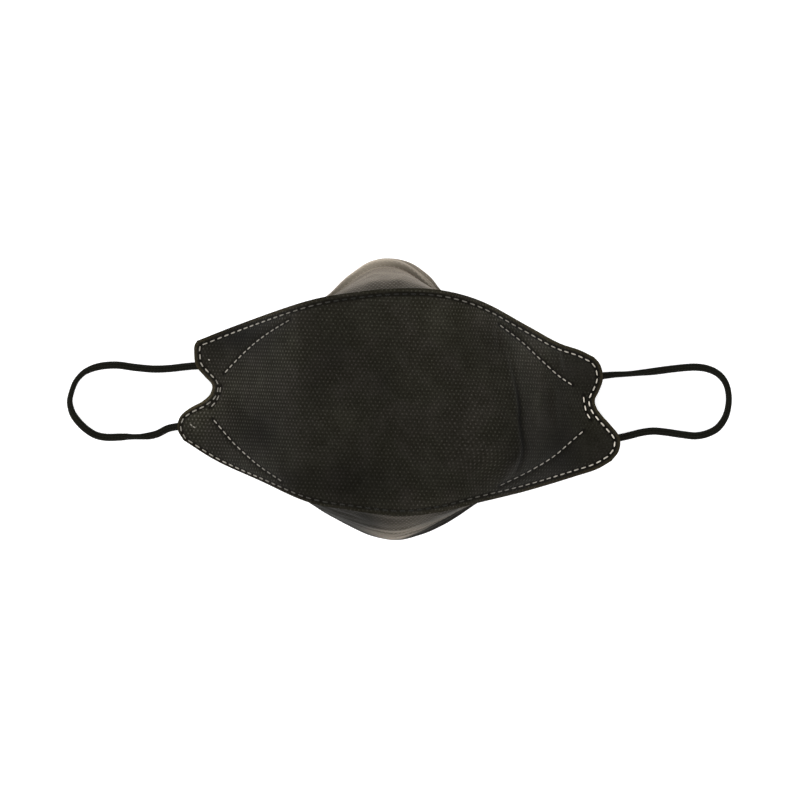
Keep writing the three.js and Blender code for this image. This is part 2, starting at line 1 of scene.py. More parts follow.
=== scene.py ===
# %% [markdown]
# # A folding respirator mask
# Three panels of black non-woven fabric are welded into a cup: a boat-shaped front panel with a
# lobe at each corner, a nose panel and a chin panel. The mask lies face side down with its front
# panel up, and two elastic ear loops lie beside it.
# Welded fabric this stiff keeps the shape that it was folded to, so it isn't simulated as cloth.
# Each panel is a fine grid laid on a drawn surface, and welds, folds and dots are added to it.

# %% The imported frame
import math

import bmesh
import bpy
import numpy as np
from mathutils import Matrix, Vector, noise


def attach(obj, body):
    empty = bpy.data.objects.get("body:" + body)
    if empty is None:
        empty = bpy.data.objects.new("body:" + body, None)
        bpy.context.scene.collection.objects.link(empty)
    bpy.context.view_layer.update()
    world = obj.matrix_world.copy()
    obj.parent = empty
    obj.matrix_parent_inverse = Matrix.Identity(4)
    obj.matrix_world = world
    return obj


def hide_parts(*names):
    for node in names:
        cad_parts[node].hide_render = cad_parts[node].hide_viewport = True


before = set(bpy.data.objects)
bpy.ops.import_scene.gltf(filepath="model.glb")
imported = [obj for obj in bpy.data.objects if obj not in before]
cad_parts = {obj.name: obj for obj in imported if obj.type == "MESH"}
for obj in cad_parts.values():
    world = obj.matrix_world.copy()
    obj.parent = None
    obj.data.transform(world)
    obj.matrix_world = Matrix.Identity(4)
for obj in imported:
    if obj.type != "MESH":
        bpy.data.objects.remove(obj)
scene = bpy.context.scene
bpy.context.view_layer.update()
MM = 0.001
OUTLINE_CENTRE = (0.43, -0.29, 0.0)   # the tables' own origin, seen from the frame's, in mm


def in_frame(points):
    """Points of the tables, in millimetres, as places in the frame, in metres."""
    return (np.asarray(points, float) - OUTLINE_CENTRE) * MM


def placed(name, data):
    """A new object in the scene, at the origin."""
    piece = bpy.data.objects.new(name, data)
    scene.collection.objects.link(piece)
    return piece


def mesh_of(name, bm):
    """Turns a bmesh into a mesh."""
    mesh = bpy.data.meshes.new(name)
    bm.to_mesh(mesh)
    bm.free()
    return mesh


# %% [markdown]
# ## Camera, table and light
# The mask is seen from straight above, turned a little on a white table. A long lens from far
# away sees the mask almost in plan, so the steep walls of the cup show only as thin crescents.

# %% Camera
CAMERA_HEIGHT = 1.6
VIEW_WIDTH = 0.292
MASK_TURN = math.radians(2.3)

lens = bpy.data.cameras.new("camera")
lens.angle = 2 * math.atan(VIEW_WIDTH / 2 / CAMERA_HEIGHT)
camera = placed("camera", lens)
camera.location = (0, 0, CAMERA_HEIGHT)
camera.rotation_euler = (0, 0, MASK_TURN)
scene.camera = camera
scene.view_settings.view_transform = "Standard"
print("camera lens", round(lens.lens, 1), "mm")

# %% [markdown]
# ## Writing materials as sums
# A pattern is a number that varies over a surface. With a node's socket wrapped in a small class,
# it is written as ordinary arithmetic, which reads far better than a list of links.


# %% Patterns
def plug(tree, socket, value):
    """Links a pattern to a socket, or sets a plain value on it."""
    if isinstance(value, Pattern):
        tree.links.new(value.socket, socket)
    else:
        socket.default_value = value


class Pattern:
    """A number or colour that varies over a surface: one output of a shader node."""

    def __init__(self, tree, socket):
        self.tree, self.socket = tree, socket

    def maths(self, operation, *values):
        node = self.tree.nodes.new("ShaderNodeMath")
        node.operation = operation
        for socket, value in zip(node.inputs, values):
            plug(self.tree, socket, value)
        return Pattern(self.tree, node.outputs[0])

    def __add__(self, other):
        return self.maths("ADD", self, other)

    def __sub__(self, other):
        return self.maths("SUBTRACT", self, other)

    def __rsub__(self, other):
        return self.maths("SUBTRACT", other, self)

    def __mul__(self, other):
        return self.maths("MULTIPLY", self, other)

    def cosine(self):
        return self.maths("COSINE", self)

    def clipped(self, low, high):
        """0 up to low, 1 from high, and smooth between them."""
        node = self.tree.nodes.new("ShaderNodeMapRange")
        node.interpolation_type = "SMOOTHSTEP"
        for socket, value in zip(node.inputs, (self, low, high, 0.0, 1.0)):
            plug(self.tree, socket, value)
        return Pattern(self.tree, node.outputs[0])

    __radd__ = __add__


# %% Finishes
class Finish:
    """A material that is put together node by node."""

    def __init__(self, name, **sockets):
        self.material = bpy.data.materials.new(name)
        self.material.use_nodes = True
        self.tree = self.material.node_tree
        self.shader = self.tree.nodes["Principled BSDF"]
        self.set(**sockets)

    def set(self, **sockets):
        """Gives the shader's sockets their values or patterns: Base_Color=..., Roughness=..."""
        for name, value in sockets.items():
            plug(self.tree, self.shader.inputs[name.replace("_", " ")], value)

    def node(self, kind, settings, sockets, output=0):
        """Adds any other node: its settings first, then the values or links of its sockets."""
        node = self.tree.nodes.new(kind)
        for name, value in settings.items():
            setattr(node, name, value)
        for name, value in sockets.items():
            plug(self.tree, node.inputs[name], value)
        return Pattern(self.tree, node.outputs[output])

    def mixed(self, share, **sockets):
        """Mixes in a second shader by a share that may vary: 0 is the first one, 1 the second."""
        second = self.tree.nodes.new("ShaderNodeBsdfPrincipled")
        for name, value in sockets.items():
            plug(self.tree, second.inputs[name.replace("_", " ")], value)
        mix = self.tree.nodes.new("ShaderNodeMixShader")
        plug(self.tree, mix.inputs[0], share)
        self.tree.links.new(self.shader.outputs[0], mix.inputs[1])
        self.tree.links.new(second.outputs[0], mix.inputs[2])
        self.tree.links.new(mix.outputs[0], self.tree.nodes["Material Output"].inputs["Surface"])

    def parts(self, place):
        """The first two numbers of a place."""
        return [self.node("ShaderNodeSeparateXYZ", {}, {0: place}, output=k) for k in (0, 1)]

    def cloth(self):
        """The place on the flat cloth in millimetres, as a vector and as its two parts."""
        place = self.node("ShaderNodeUVMap", {"uv_map": "cloth"}, {})
        return place, *self.parts(place)

    def place(self):
        """The place on the piece, in metres."""
        return self.node("ShaderNodeTexCoord", {}, {}, output=3)

    def mottle(self, place, size, detail=2.0, rough=0.5):
        """Soft random blotches of about that size, from 0 to 1."""
        return self.node("ShaderNodeTexNoise", {}, {
            "Vector": place, "Scale": 1 / size, "Detail": detail, "Roughness": rough})

    def attribute(self, name):
        """A value that was stored on the mesh."""
        return self.node("ShaderNodeAttribute", {"attribute_name": name}, {}, output=2)

    def blend(self, share, low, high, way="MIX"):
        """A colour between low and high."""
        low, high = ((*c, 1) if isinstance(c, tuple) else c for c in (low, high))
        settings = {"data_type": "RGBA", "blend_type": way}
        return self.node("ShaderNodeMix", settings, {0: share, 6: low, 7: high}, output=2)

    def bump(self, height, depth):
        """Relief of that depth in metres. Gives the bent surface direction."""
        bent = self.node("ShaderNodeBump", {}, {"Strength": 1.0, "Distance": depth, "Height": height})
        self.set(Normal=bent)
        return bent


print("patterns and finishes are ready")

# %% [markdown]
# ## The table and the light
# The table is a sheet of white that glows a little, as a light table does, so the mask throws
# hardly any shadow. Four large soft lights stand round it. None hangs straight above, because
# black cloth that faces up would then mirror it and look grey.

# %% Table
TABLE_SIZE = 6.0
TABLE_GLOW = 0.62
TABLE_GAP = 0.0002     # under the mask, so that no two faces lie in one plane

table = Finish("white_table", Base_Color=(0.82, 0.82, 0.82, 1), Roughness=0.9,
               Emission_Color=(1, 1, 1, 1), Emission_Strength=TABLE_GLOW)
top = bmesh.new()
bmesh.ops.create_grid(top, x_segments=1, y_segments=1, size=TABLE_SIZE / 2)
floor = placed("table", mesh_of("table", top))
floor.data.materials.append(table.material)
floor.location.z = -TABLE_GAP

# %% Lights
LIGHT_REACH = 1.5      # from the mask to each light
LIGHT_LIFT = math.radians(38)
LIGHT_WIDE, LIGHT_TALL = 1.3, 0.8
SKY_STRENGTH = 0.35
LIGHTS = [   # name, bearing in degrees, power in watts
    ("left", 180, 14.0), ("right", 0, 6.2), ("nose_side", 90, 11.0), ("chin_side", -90, 13.0),
]

for name, bearing, power in LIGHTS:
    lamp = bpy.data.lights.new("light_" + name, "AREA")
    lamp.shape, lamp.size, lamp.size_y, lamp.energy = "RECTANGLE", LIGHT_WIDE, LIGHT_TALL, power
    light = placed("light_" + name, lamp)
    turn = math.radians(bearing)
    away = Vector((math.cos(turn), math.sin(turn), math.tan(LIGHT_LIFT)))
    light.location = away.normalized() * LIGHT_REACH
    light.rotation_mode = "QUATERNION"
    light.rotation_quaternion = away.to_track_quat("Z", "Y")
    light.visible_camera = False

scene.world = bpy.data.worlds.new("studio")
scene.world.use_nodes = True
sky = scene.world.node_tree.nodes["Background"]
sky.inputs["Color"].default_value = (1, 1, 1, 1)
sky.inputs["Strength"].default_value = SKY_STRENGTH
print(len(LIGHTS), "soft lights")

# %% [markdown]
# ## Smooth lines
# Everything on the mask is drawn from short tables of places. The line through them is a
# centripetal Catmull-Rom curve: it meets every place and never loops between two close ones.


# %% Smooth lines through places
def cubic(t, a, b, start, end):
    """The smooth way from a to b at t from 0 to 1, with its steepness at the start and the end."""
    return a + t * start + t**2 * (3 * (b - a) - 2 * start - end) + t**3 * (2 * (a - b) + start + end)


def smooth_line(places, shares):
    """Points on the smooth line through places, at shares of the way counted in places."""
    places = np.asarray(places, float)
    p = np.concatenate([[2 * places[0] - places[1]], places, [2 * places[-1] - places[-2]]])
    step = np.linalg.norm(np.diff(p, axis=0), axis=-1, keepdims=True) ** 0.5
    place = np.clip(shares, 0, 1) * (len(places) - 1)
    i = np.minimum(place.astype(int), len(places) - 2)
    t = (place - i).reshape(-1, *[1] * (places.ndim - 1))
    a, b, c, d = (p[i + k] for k in range(4))
    before, here, after = (step[i + k] for k in range(3))
    start = ((b - a) / before - (c - a) / (before + here)) * here + (c - b)
    end = (c - b) - ((d - b) / (here + after) - (d - c) / after) * here
    return cubic(t, b, c, start, end)


def drawn(places, count=400, height=0.0):
    """The smooth line through places as many short steps; a place may leave out its height."""
    places = [(*place, height)[:3] for place in places]
    return smooth_line(places, np.linspace(0, 1, count))


def run_along(line):
    """How far along the line each of its points is."""
    return np.concatenate([[0], np.cumsum(np.linalg.norm(np.diff(line, axis=0), axis=1))])


print("smooth lines are ready")


# %% Small rules
def between(where, run, rows):
    """Rows of three numbers at distances along a line, from the rows known at the run's."""
    return np.stack([np.interp(where, run, rows[:, k]) for k in range(3)], -1)


def at_shares(line, shares):
    """Points at shares of the line's real length."""
    run = run_along(line)
    return between(np.asarray(shares) * run[-1], run, line)


def unit(rows):
    """Rows made one unit long."""
    return rows / np.linalg.norm(rows, axis=-1, keepdims=True)


def ease(value):
    """0 below 0, 1 above 1, and a smooth rise between them."""
    t = np.clip(value, 0, 1)
    return t * t * (3 - 2 * t)


def within(value, low, high, rise, fall=None):
    """1 between low and high and 0 outside them, with a smooth rise and fall inside them."""
    return ease((value - low) / rise) * ease((high - value) / (fall or rise))


def bell(gap, width, power=2):
    """1 in the middle and a smooth fall to 0 on both sides; a higher power gives a flatter top."""
    return np.exp(-((gap / width) ** power))


def table_value(rows, column, position):
    """Smooth value of one column of a table at positions between its rows."""
    rows = np.asarray(rows, float)
    x, y, last = rows[:, 0], rows[:, column], len(rows) - 1
    before, after = np.maximum(np.arange(last + 1) - 1, 0), np.minimum(np.arange(last + 1) + 1, last)
    slope = (y[after] - y[before]) / (x[after] - x[before])
    i = np.clip(np.searchsorted(x, position) - 1, 0, last - 1)
    span = x[i + 1] - x[i]
    t = np.clip((position - x[i]) / span, 0, 1)
    return cubic(t, y[i], y[i + 1], span * slope[i], span * slope[i + 1])


def gap_to(points, line):
    """How far each point is from a line in plan, and the share of the way to the nearest place."""
    best, where = np.full(len(points), np.inf), np.zeros(len(points))
    for k, (a, b) in enumerate(zip(line[:-1, :2], line[1:, :2])):
        d = b - a
        t = np.clip(((points[:, :2] - a) @ d) / max(d @ d, 1e-12), 0, 1)
        gap = np.linalg.norm(points[:, :2] - a - t[:, None] * d, axis=1)
        closer = gap < best
        best[closer], where[closer] = gap[closer], (k + t[closer]) / (len(line) - 1)
    return best, where


print("half way up ease gives", ease(0.5))

# %% [markdown]
# ## Ear loops
# Each ear loop is one soft elastic, knitted over a rubber core. Its ends are flattened and welded
# inside two lobes, and between them it lies on the table in a loose bend.
# A curve with a round bevel would be smooth all over. A fine grid wrapped round the route gives
# the knitted ribs as real relief, and lets the elastic twist and flatten in its bend.

# %% Routes of the two elastics
ELASTIC = 2.4       # diameter in mm, were it round
LEFT_LOOP = [
    (-71.5, 9.3, 3.9), (-75.2, 9.1, 2.4), (-79, 8.6, 1.6), (-83.5, 7.9), (-89.5, 7.4), (-96.4, 7.7),
    (-103.6, 8.3), (-109.8, 7.5), (-114.7, 5.4), (-117.7, 2.2), (-119.2, -1.6), (-119.9, -5.5),
    (-118.9, -9.5), (-116.4, -13), (-113.2, -15.8), (-109.8, -17.6), (-106, -18.2), (-98.9, -17.7),
    (-92.2, -17.3), (-87.8, -16.3), (-83.7, -14.1, 1.5), (-79.8, -13.1, 2.2), (-76, -11.9, 3.5),
]
RIGHT_LOOP = [
    (70.2, 10.5, 4.3), (73.9, 11.5, 2.8), (78.4, 12.1, 1.8), (83.4, 12.6), (91.4, 13.7), (102.6, 15.5),
    (108.1, 16), (112.4, 15.5), (116.1, 13.8), (118.7, 10.9), (120, 7.1), (120.2, 3), (119.2, -1.8),
    (116.6, -5.8), (112.9, -8), (108.8, -9), (103.6, -8.7), (97.9, -8.1), (93.2, -7.9), (88.8, -8.6),
    (84.4, -9.9, 1.4), (80.4, -10.9, 2.1), (76.2, -11.3, 3.4),
]


# %% Grids laid on a surface
def laid_grid(name, columns, rows, surface, stored=(), closed=False):
    """A grid laid on a surface; a closed grid joins its two sides.

    surface(along, across) gives its points and their places on the flat cloth, both in mm, and
    lists of values to store under the names in stored.
    """
    bm = bmesh.new()
    bmesh.ops.create_grid(bm, x_segments=columns, y_segments=rows, size=1)
    share = (np.array([v.co[:2] for v in bm.verts]) + 1) / 2
    points, cloth, values = surface(share[:, 0], share[:, 1])
    layers = [bm.verts.layers.float.new(label) for label in stored]
    uv = bm.loops.layers.uv.new("cloth")
    for vertex, place in zip(bm.verts, in_frame(points)):
        vertex.co = place
    for layer, column in zip(layers, values):
        for vertex, value in zip(bm.verts, column):
            vertex[layer] = value
    bm.verts.index_update()
    for face in bm.faces:
        face.smooth = True
        for loop in face.loops:
            loop[uv].uv = cloth[loop.vert.index]
    if closed:
        bmesh.ops.remove_doubles(bm, verts=bm.verts, dist=1e-6)
        bmesh.ops.holes_fill(bm, edges=[e for e in bm.edges if e.is_boundary])
    bmesh.ops.recalc_face_normals(bm, faces=bm.faces)
    return placed(name, mesh_of(name, bm))


# %% A knitted elastic
RIBS = 9                # wales of the knit round the cord
STITCH = 1.15           # length of a stitch in mm
KNIT_DEPTH = 0.035      # share of the radius
WIDE, THIN = 2.7, 1.98  # the elastic is a little flat
CELL, CELLS_ROUND = 0.26, 36
TABLE_CLEAR = 0.02      # lowest point over the table in mm


def elastic(name, route, turned):
    """A knitted cord along a route. turned says where it twists: place, reach and angle."""
    line = drawn(route, 900, ELASTIC / 2)
    run = run_along(line)
    length = run[-1]
    heading = unit(np.gradient(line, axis=0))
    aside = unit(np.cross((0, 0, 1), heading))
    lift = np.cross(heading, aside)

    def surface(along, around):
        centre, side, up = (between(along * length, run, part) for part in (line, aside, lift))
        angle = around * 2 * math.pi
        lean = sum(ease(1 - np.abs(along - place) / reach) * math.radians(turn)
                   for place, reach, turn in turned)
        rib = np.cos(RIBS * angle)
        stitch = np.cos(2 * math.pi * along * length / STITCH + 1.6 * rib)
        knitted = 1 + KNIT_DEPTH * (0.6 * rib + 0.4 * stitch)
        wide, thin = knitted * WIDE / 2 * np.cos(angle), knitted * THIN / 2 * np.sin(angle)
        points = centre + (wide * np.cos(lean) - thin * np.sin(lean))[:, None] * side
        points += (wide * np.sin(lean) + thin * np.cos(lean))[:, None] * up
        points[:, 2] += np.hypot(WIDE * np.sin(lean), THIN * np.cos(lean)) / 2 - ELASTIC / 2
        points[:, 2] = np.maximum(points[:, 2], TABLE_CLEAR)
        return points, np.stack([along * length, around * math.pi * ELASTIC], -1), []

    return laid_grid(name, int(length / CELL), CELLS_ROUND, surface, closed=True), line, length


loops = {
    "left": elastic("ear_loop_left_elastic", LEFT_LOOP, [(0.47, 0.15, 90), (0.81, 0.07, 75)]),
    "right": elastic("ear_loop_right_elastic", RIGHT_LOOP, [(0.12, 0.13, 70), (0.5, 0.2, 60)]),
}
for side, (piece, line, length) in loops.items():
    print(side, "elastic is", round(length, 1), "mm long,", len(piece.data.polygons), "faces")

# %% [markdown]
# ## The front panel's surface
# The front panel is a level plateau between two steep flanks. Its outline in plan comes from four
# edges, and a Coons patch fills the space between them, so a plain grid fits the notches and
# lobes without any trimming. Its height is the middle line's, less a fall past each diagonal weld
# where a lobe hangs.

# %% Outline tables: x and y in mm
TOP_EDGE = [
    (-74, 18.2), (-61.3, 23.5), (-43.6, 30), (-29.4, 34.6), (-18.8, 36.8), (-3, 39), (12.9, 39.1),
    (27.3, 35.9), (45.1, 27.8), (56.5, 22.5), (64.5, 20.3), (70, 18),
]
BOTTOM_EDGE = [
    (-77.6, -18), (-65.4, -24.8), (-47.1, -31.6), (-29.3, -38), (-15.7, -39.9), (2, -41.3), (16.1, -39.3),
    (30.1, -35.3), (46.5, -31), (64.7, -25.3), (72.9, -22.4), (78.1, -19.2),
]
LEFT_END_UPPER = [(-67.5, 2.2), (-70.6, 5.4), (-73.9, 9), (-74.8, 12.8), (-74.9, 16.5), (-74, 18.2)]
LEFT_END_LOWER = [
    (-67.5, 2.2), (-68.1, -0.8), (-70.8, -3.5), (-76, -6.7), (-79.1, -9.7), (-79.8, -14), (-77.6, -18),
]
RIGHT_END_UPPER = [(70.8, 2.5), (72.1, 5.4), (73.5, 9.6), (73.3, 13), (72, 16), (70, 18)]
RIGHT_END_LOWER = [
    (70.8, 2.5), (71.4, 0), (74, -3.2), (77, -6.2), (80.6, -10.6), (80.6, -15.4), (78.1, -19.2),
]
EDGES = {
    "top": drawn(TOP_EDGE),
    "bottom": drawn(BOTTOM_EDGE),
    "left": drawn(LEFT_END_LOWER[::-1] + LEFT_END_UPPER[1:]),
    "right": drawn(RIGHT_END_LOWER[::-1] + RIGHT_END_UPPER[1:]),
}
OUTLINE = np.concatenate([EDGES["top"], EDGES["right"][::-1], EDGES["bottom"][::-1], EDGES["left"]])[::4]
print("outline:", round(run_along(OUTLINE)[-1]), "mm round")

# %% Height tables, in mm
RIDGE = [   # x, height on the middle line
    (-84, 10.4), (-75, 11.6), (-68, 13.6), (-62, 17.9), (-56, 24.2), (-47, 36), (-40, 44.4), (-33, 49.2),
    (-22, 51.2), (0, 52), (20, 51.2), (30, 48.8), (40, 43.8), (46, 37), (58, 22.6), (65, 16), (71, 12.8),
    (84, 10.6),
]
CREASE_BOW = [   # y, how far the left bend and the right crease stand over to the right there
    (-40, 0.8, -8), (-29, 0.8, -4.5), (-16, 0.5, 3.6), (0, 0, 1.4), (14, -0.5, -2.6), (28, -1, -6.6),
    (40, -1.2, -8.5),
]
BOW_START, BOW_FULL, BOW_END = 12, 36, 70
CROWN_DROP, CROWN_REACH = 2.0, 40
LOBE_HINGES = [   # inner and outer end of the line that each lobe hangs from
    ((-39.1, 26.5), (-64.3, 5.4)), ((-39.3, -31.5), (-67.6, -9.3)), ((34.1, 27.7), (63, 6.9)),
    ((36, -29.5), (67.4, -8.9)),
]
LOBE_SLOPE, LOBE_SOFTNESS = 0.42, 4.0
SOFT_FOLDS = [   # places along the fold, its width and its height
    ([(-64, -3), (-42, -15)], 3.4, -0.7), ([(-36, 22), (-33, -28)], 4, 0.5),
    ([(38, 14), (44, -20)], 2.6, 0.7), ([(49, 16), (50, -12)], 3.2, -0.8),
    ([(56, 12), (58, -10)], 3, 0.6), ([(33, 26), (35, 18)], 2.4, -0.7), ([(58, 20), (63, 11)], 2.8, -0.6),
    ([(-78, -11), (-70, -16)], 5, 0.6),
]


# %% The surface of the front panel
def front_plan(along, across):
    """Places in plan on the front panel; along and across run from 0 to 1."""
    top, bottom = (at_shares(EDGES[edge], along) for edge in ("top", "bottom"))
    left, right = (at_shares(EDGES[edge], across) for edge in ("left", "right"))
    u, v = along[:, None], across[:, None]
    corners = ((1 - u) * (1 - v) * EDGES["bottom"][0] + u * (1 - v) * EDGES["bottom"][-1]
               + (1 - u) * v * EDGES["top"][0] + u * v * EDGES["top"][-1])
    return (1 - v) * bottom + v * top + (1 - u) * left + u * right - corners


def bowed(x, y):
    """The place on the middle line whose height the place x, y takes."""
    away = np.abs(x)
    share = within(away, BOW_START, BOW_END, BOW_FULL - BOW_START, BOW_END - BOW_FULL)
    bow = np.where(x < 0, table_value(CREASE_BOW, 1, y), table_value(CREASE_BOW, 2, y))
    return x - share * bow


def beside(x, y, start, end):
    """Places seen from a straight line: the share of the way along it, and how far to its right."""
    (ax, ay), (bx, by) = start, end
    length = math.hypot(bx - ax, by - ay)
    return (((x - ax) * (bx - ax) + (y - ay) * (by - ay)) / length**2,
            ((x - ax) * (by - ay) - (y - ay) * (bx - ax)) / length)


def fold_relief(x, y, folds, fade=0.3):
    """Height of soft ridges and valleys; each fades over a share of its length at its ends."""
    height = np.zeros(len(x))
    for line, width, rise in folds:
        along, aside = beside(x, y, *line)
        height += rise * within(along, -fade, 1 + fade, 2 * fade) * bell(aside, width)
    return height


def front_height(x, y):
    """Height of the middle of the front panel's wall."""
    height = table_value(RIDGE, 1, bowed(x, y)) - CROWN_DROP * (y / CROWN_REACH) ** 2
    for start, end in LOBE_HINGES:
        past = beside(x, y, start, end)[1] * math.copysign(1, (start[0] - end[0]) * start[1])
        fall = LOBE_SLOPE * (past + np.hypot(past, LOBE_SOFTNESS)) / 2
        height = height - fall * ((x * start[0] > 0) & (y * start[1] > 0))
    return height + fold_relief(x, y, SOFT_FOLDS)


def front_facing(x, y, step=0.5):
    """The direction that the front panel faces."""
    across = (front_height(x - step, y) - front_height(x + step, y)) / (2 * step)
    up = (front_height(x, y - step) - front_height(x, y + step)) / (2 * step)
    return unit(np.stack([across, up, np.ones(len(x))], -1))


def under_front(plan, depth):
    """Points a depth under the middle of the front panel's wall."""
    x, y = plan[:, 0], plan[:, 1]
    return np.stack([x, y, front_height(x, y)], -1) - front_facing(x, y) * np.reshape(depth, (-1, 1))


print("plateau", front_height(np.zeros(1), np.zeros(1))[0], "mm high")

# %% [markdown]
# ## Weld rows
# The layers are joined by ultrasonic welding: a wheel presses a row of short dashes, and the
# fabric melts through under each one. A row runs round the whole cut edge, one runs along the
# root of each lobe, and a few dashes are doubled at the notches. Between two rows the fabric
# swells a little, like a quilt.

# %% Where the weld rows run
EDGE_INSET = [   # x along the lower edge, distance from the cut edge
    (-82, 0.9), (-44, 0.9), (-32, 1.4), (-10, 1.7), (12, 1.9), (40, 2), (82, 2),
]
LOBE_ROWS = [
    [(-39.6, 26.6), (-48.1, 21.3), (-55.3, 15.4), (-63.4, 6.8)],
    [(-40.2, -31), (-50.2, -25), (-58.2, -18.6), (-66.9, -9.9)],
    [(34.5, 27.9), (43, 22.2), (50.5, 15.9), (56.6, 11), (62.4, 7.5)],
    [(36.9, -29.4), (47.6, -23.8), (56.6, -18.1), (67.2, -8.7)],
]
NOTCH_ROWS = [
    [(-64.4, 2.3), (-64.9, -0.9), (-66, -3.4), (-68, -5.8)],
    [(66.6, 4), (67.2, 0.6), (68.2, -2.4), (69.7, -4.6)],
]


def edge_row():
    """The row round the cut edge: the outline, moved inwards."""
    line = at_shares(OUTLINE, np.linspace(0, 1, 700))
    ahead, behind = np.roll(line, -6, axis=0), np.roll(line, 6, axis=0)
    run = unit((ahead - behind)[:, :2])
    inwards = np.stack([run[:, 1], -run[:, 0], np.zeros(len(run))], -1)
    inset = np.where(line[:, 1] < -8, table_value(EDGE_INSET, 1, line[:, 0]), 2.0)
    inset = np.convolve(np.concatenate([inset[-20:], inset, inset[:20]]), np.ones(41) / 41, "valid")
    return line + inwards * inset[:, None]


EDGE_ROW = edge_row()
WELD_ROWS = [EDGE_ROW] + [drawn(row, 60) for row in LOBE_ROWS + NOTCH_ROWS]
print("weld rows:", round(sum(run_along(row)[-1] for row in WELD_ROWS)), "mm in all")

# %% [markdown]
# ## Finer folds
# The right crease is the sharpest line on the front panel: the cloth was folded there in its
# packet. Soft upright folds stay beside it, and a dent runs in from the left notch.

# %% Folds that only show up close
CREASE = [
    (34.3, 27.5), (36.9, 20.7), (39.3, 13.7), (41.3, 6.4), (42.6, -0.4), (43.1, -6.2), (43.8, -10.6),
    (44.6, -16), (43.6, -21.7), (40.3, -26.5), (36.3, -29.3),
]
FINE_FOLDS = [
    (CREASE, 0.9, -0.45), ([(45.6, 10), (47.4, 2), (49, -8), (49.8, -17)], 2.2, 0.4),
    ([(52.6, 9), (53.2, 1), (54, -9)], 1.3, -0.3), ([(55.6, 8.5), (55.8, 0), (56.8, -8)], 1.2, 0.3),
    ([(60, 2), (61.2, -2), (62.4, -7)], 1.1, -0.3), ([(56.4, 20), (56.9, 16), (57, 12.4)], 0.8, 0.35),
    ([(58.2, 19.4), (58.6, 16), (58.9, 13)], 0.7, -0.3),
    ([(33, 26.6), (34.4, 23), (34.8, 19.4)], 0.8, -0.4),
    ([(31.4, 25.6), (32.4, 22.6), (32, 19)], 0.9, 0.3),
    ([(-61.5, -3.2), (-57, -6.4), (-47.5, -10.4), (-41, -11.8)], 1.5, -0.4),
    ([(-60, 0), (-53, -2.6), (-46, -4)], 1.8, 0.25), ([(-35.2, 20), (-34.6, 0), (-34.4, -24)], 1.4, 0.16),
    ([(-68, -13.5), (-62, -17), (-56, -21.6)], 1.6, 0.3),
]


def line_folds(points, folds):
    """Height of folds that follow a drawn line and fade at its ends."""
    height = np.zeros(len(points))
    for line, width, rise in folds:
        gap, share = gap_to(points, drawn(line, 24))
        height += rise * bell(gap, width) * within(share, 0, 1, 0.25)
    return height


# %% The front panel's cloth
WALL = 1.2             # thickness of the frame's wall
CLOTH = 0.9            # thickness of the cloth itself
GROOVE_DEPTH, GROOVE_WIDTH = 0.34, 0.9
QUILT_RISE, QUILT_WIDTH = 0.22, 2.6
WAVINESS, WAVE_SIZE = 0.16, 9.0
# The crease's dark line is painted shade.
CREASE_SHADE_WIDTH = 0.8     # of its dark line
FRONT_CELLS = 300, 124

MIDDLE = np.linspace(-90, 90, 721)
MIDDLE_RUN = run_along(np.c_[MIDDLE, table_value(RIDGE, 1, MIDDLE)])
MIDDLE_RUN -= np.interp(0, MIDDLE, MIDDLE_RUN)


def wavy(points, size, seed):
    """Smooth random values from -1 to 1, the same each time."""
    return np.array([noise.noise(Vector(p) / size + Vector((seed, 0, 0))) for p in points])


def front_cloth(x, y):
    """Where a place of the front panel is on the flat cloth."""
    return np.stack([np.interp(bowed(x, y), MIDDLE, MIDDLE_RUN), y], -1)


def front_relief(points):
    """Relief of the cloth at places in plan, the gap to the cut edge and to the nearest weld row."""
    near = np.min([gap_to(points, row)[0] for row in WELD_ROWS], axis=0)
    rim = gap_to(points, OUTLINE)[0]
    groove = GROOVE_DEPTH * bell(near, GROOVE_WIDTH)
    quilt = QUILT_RISE * bell(near, QUILT_WIDTH)
    waves = WAVINESS * wavy(points, WAVE_SIZE, 3.0) * ease(rim / 6)
    return line_folds(points, FINE_FOLDS) + waves - groove - quilt, rim, near


# Painted light and shade on the cloth, where it is drawn lighter or darker than the rest: place, reach
# both ways, amount.
PAINTED_LIGHT_AND_SHADE = [
    (18, 33, 26, 12, 0.5), (31, 32, 8, 6, 0.5), (18, -38, 14, 4, 0.5), (-58, 21, 11, 6, -0.8),
    (-38, 17, 5, 12, 0.25), (-22, 17, 5, 6, -0.25), (-73, -8, 6, 6, 1), (-68, -3, 5, 5, 0.7),
    (-49, -14, 9, 8, -0.5), (-16, -30, 16, 9, -0.5), (-38, -30, 8, 5, -0.3), (44, -20, 6, 13, -0.4),
    (58, -18, 7, 10, -0.6), (29, 3, 9, 17, 0.3), (47, 18, 8, 8, 0.9), (9, 12, 8, 18, 0.2),
    (-20, -8, 8, 4, 0.25), (-6, 6, 4, 6, -0.2), (-29, 6, 6, 14, -0.2), (-62, 2, 6, 5, 0.25),
    (49, 1, 3, 10, 0.45), (71, -4, 5, 6, 0.5), (34, -22, 6, 6, 0.25), (-52, 3, 8, 8, 0.25),
]


# Where the dots are pressed deeper or flatter than on the middle.
PRESSED = [
    (-50, 2, 16, 24, 1), (-66, -14, 14, 9, 0.9), (-62, 17, 9, 6, -0.3), (72, -13, 14, 9, -0.75),
    (67, 13, 10, 8, -0.6), (52, -2, 8, 22, -0.2), (-10, -12, 14, 6, -0.2), (22, 20, 10, 8, -0.2),
]
# Where the painted shade along the weld rows is faint.
FAINT_WELD_SHADE = [(2, -41, 32, 7, 0.5)]


def patches(x, y, table):
    """Soft patches added up."""
    return sum(amount * np.exp(-(((x - a) / wide) ** 2) - ((y - b) / tall) ** 2)
               for a, b, wide, tall, amount in table)


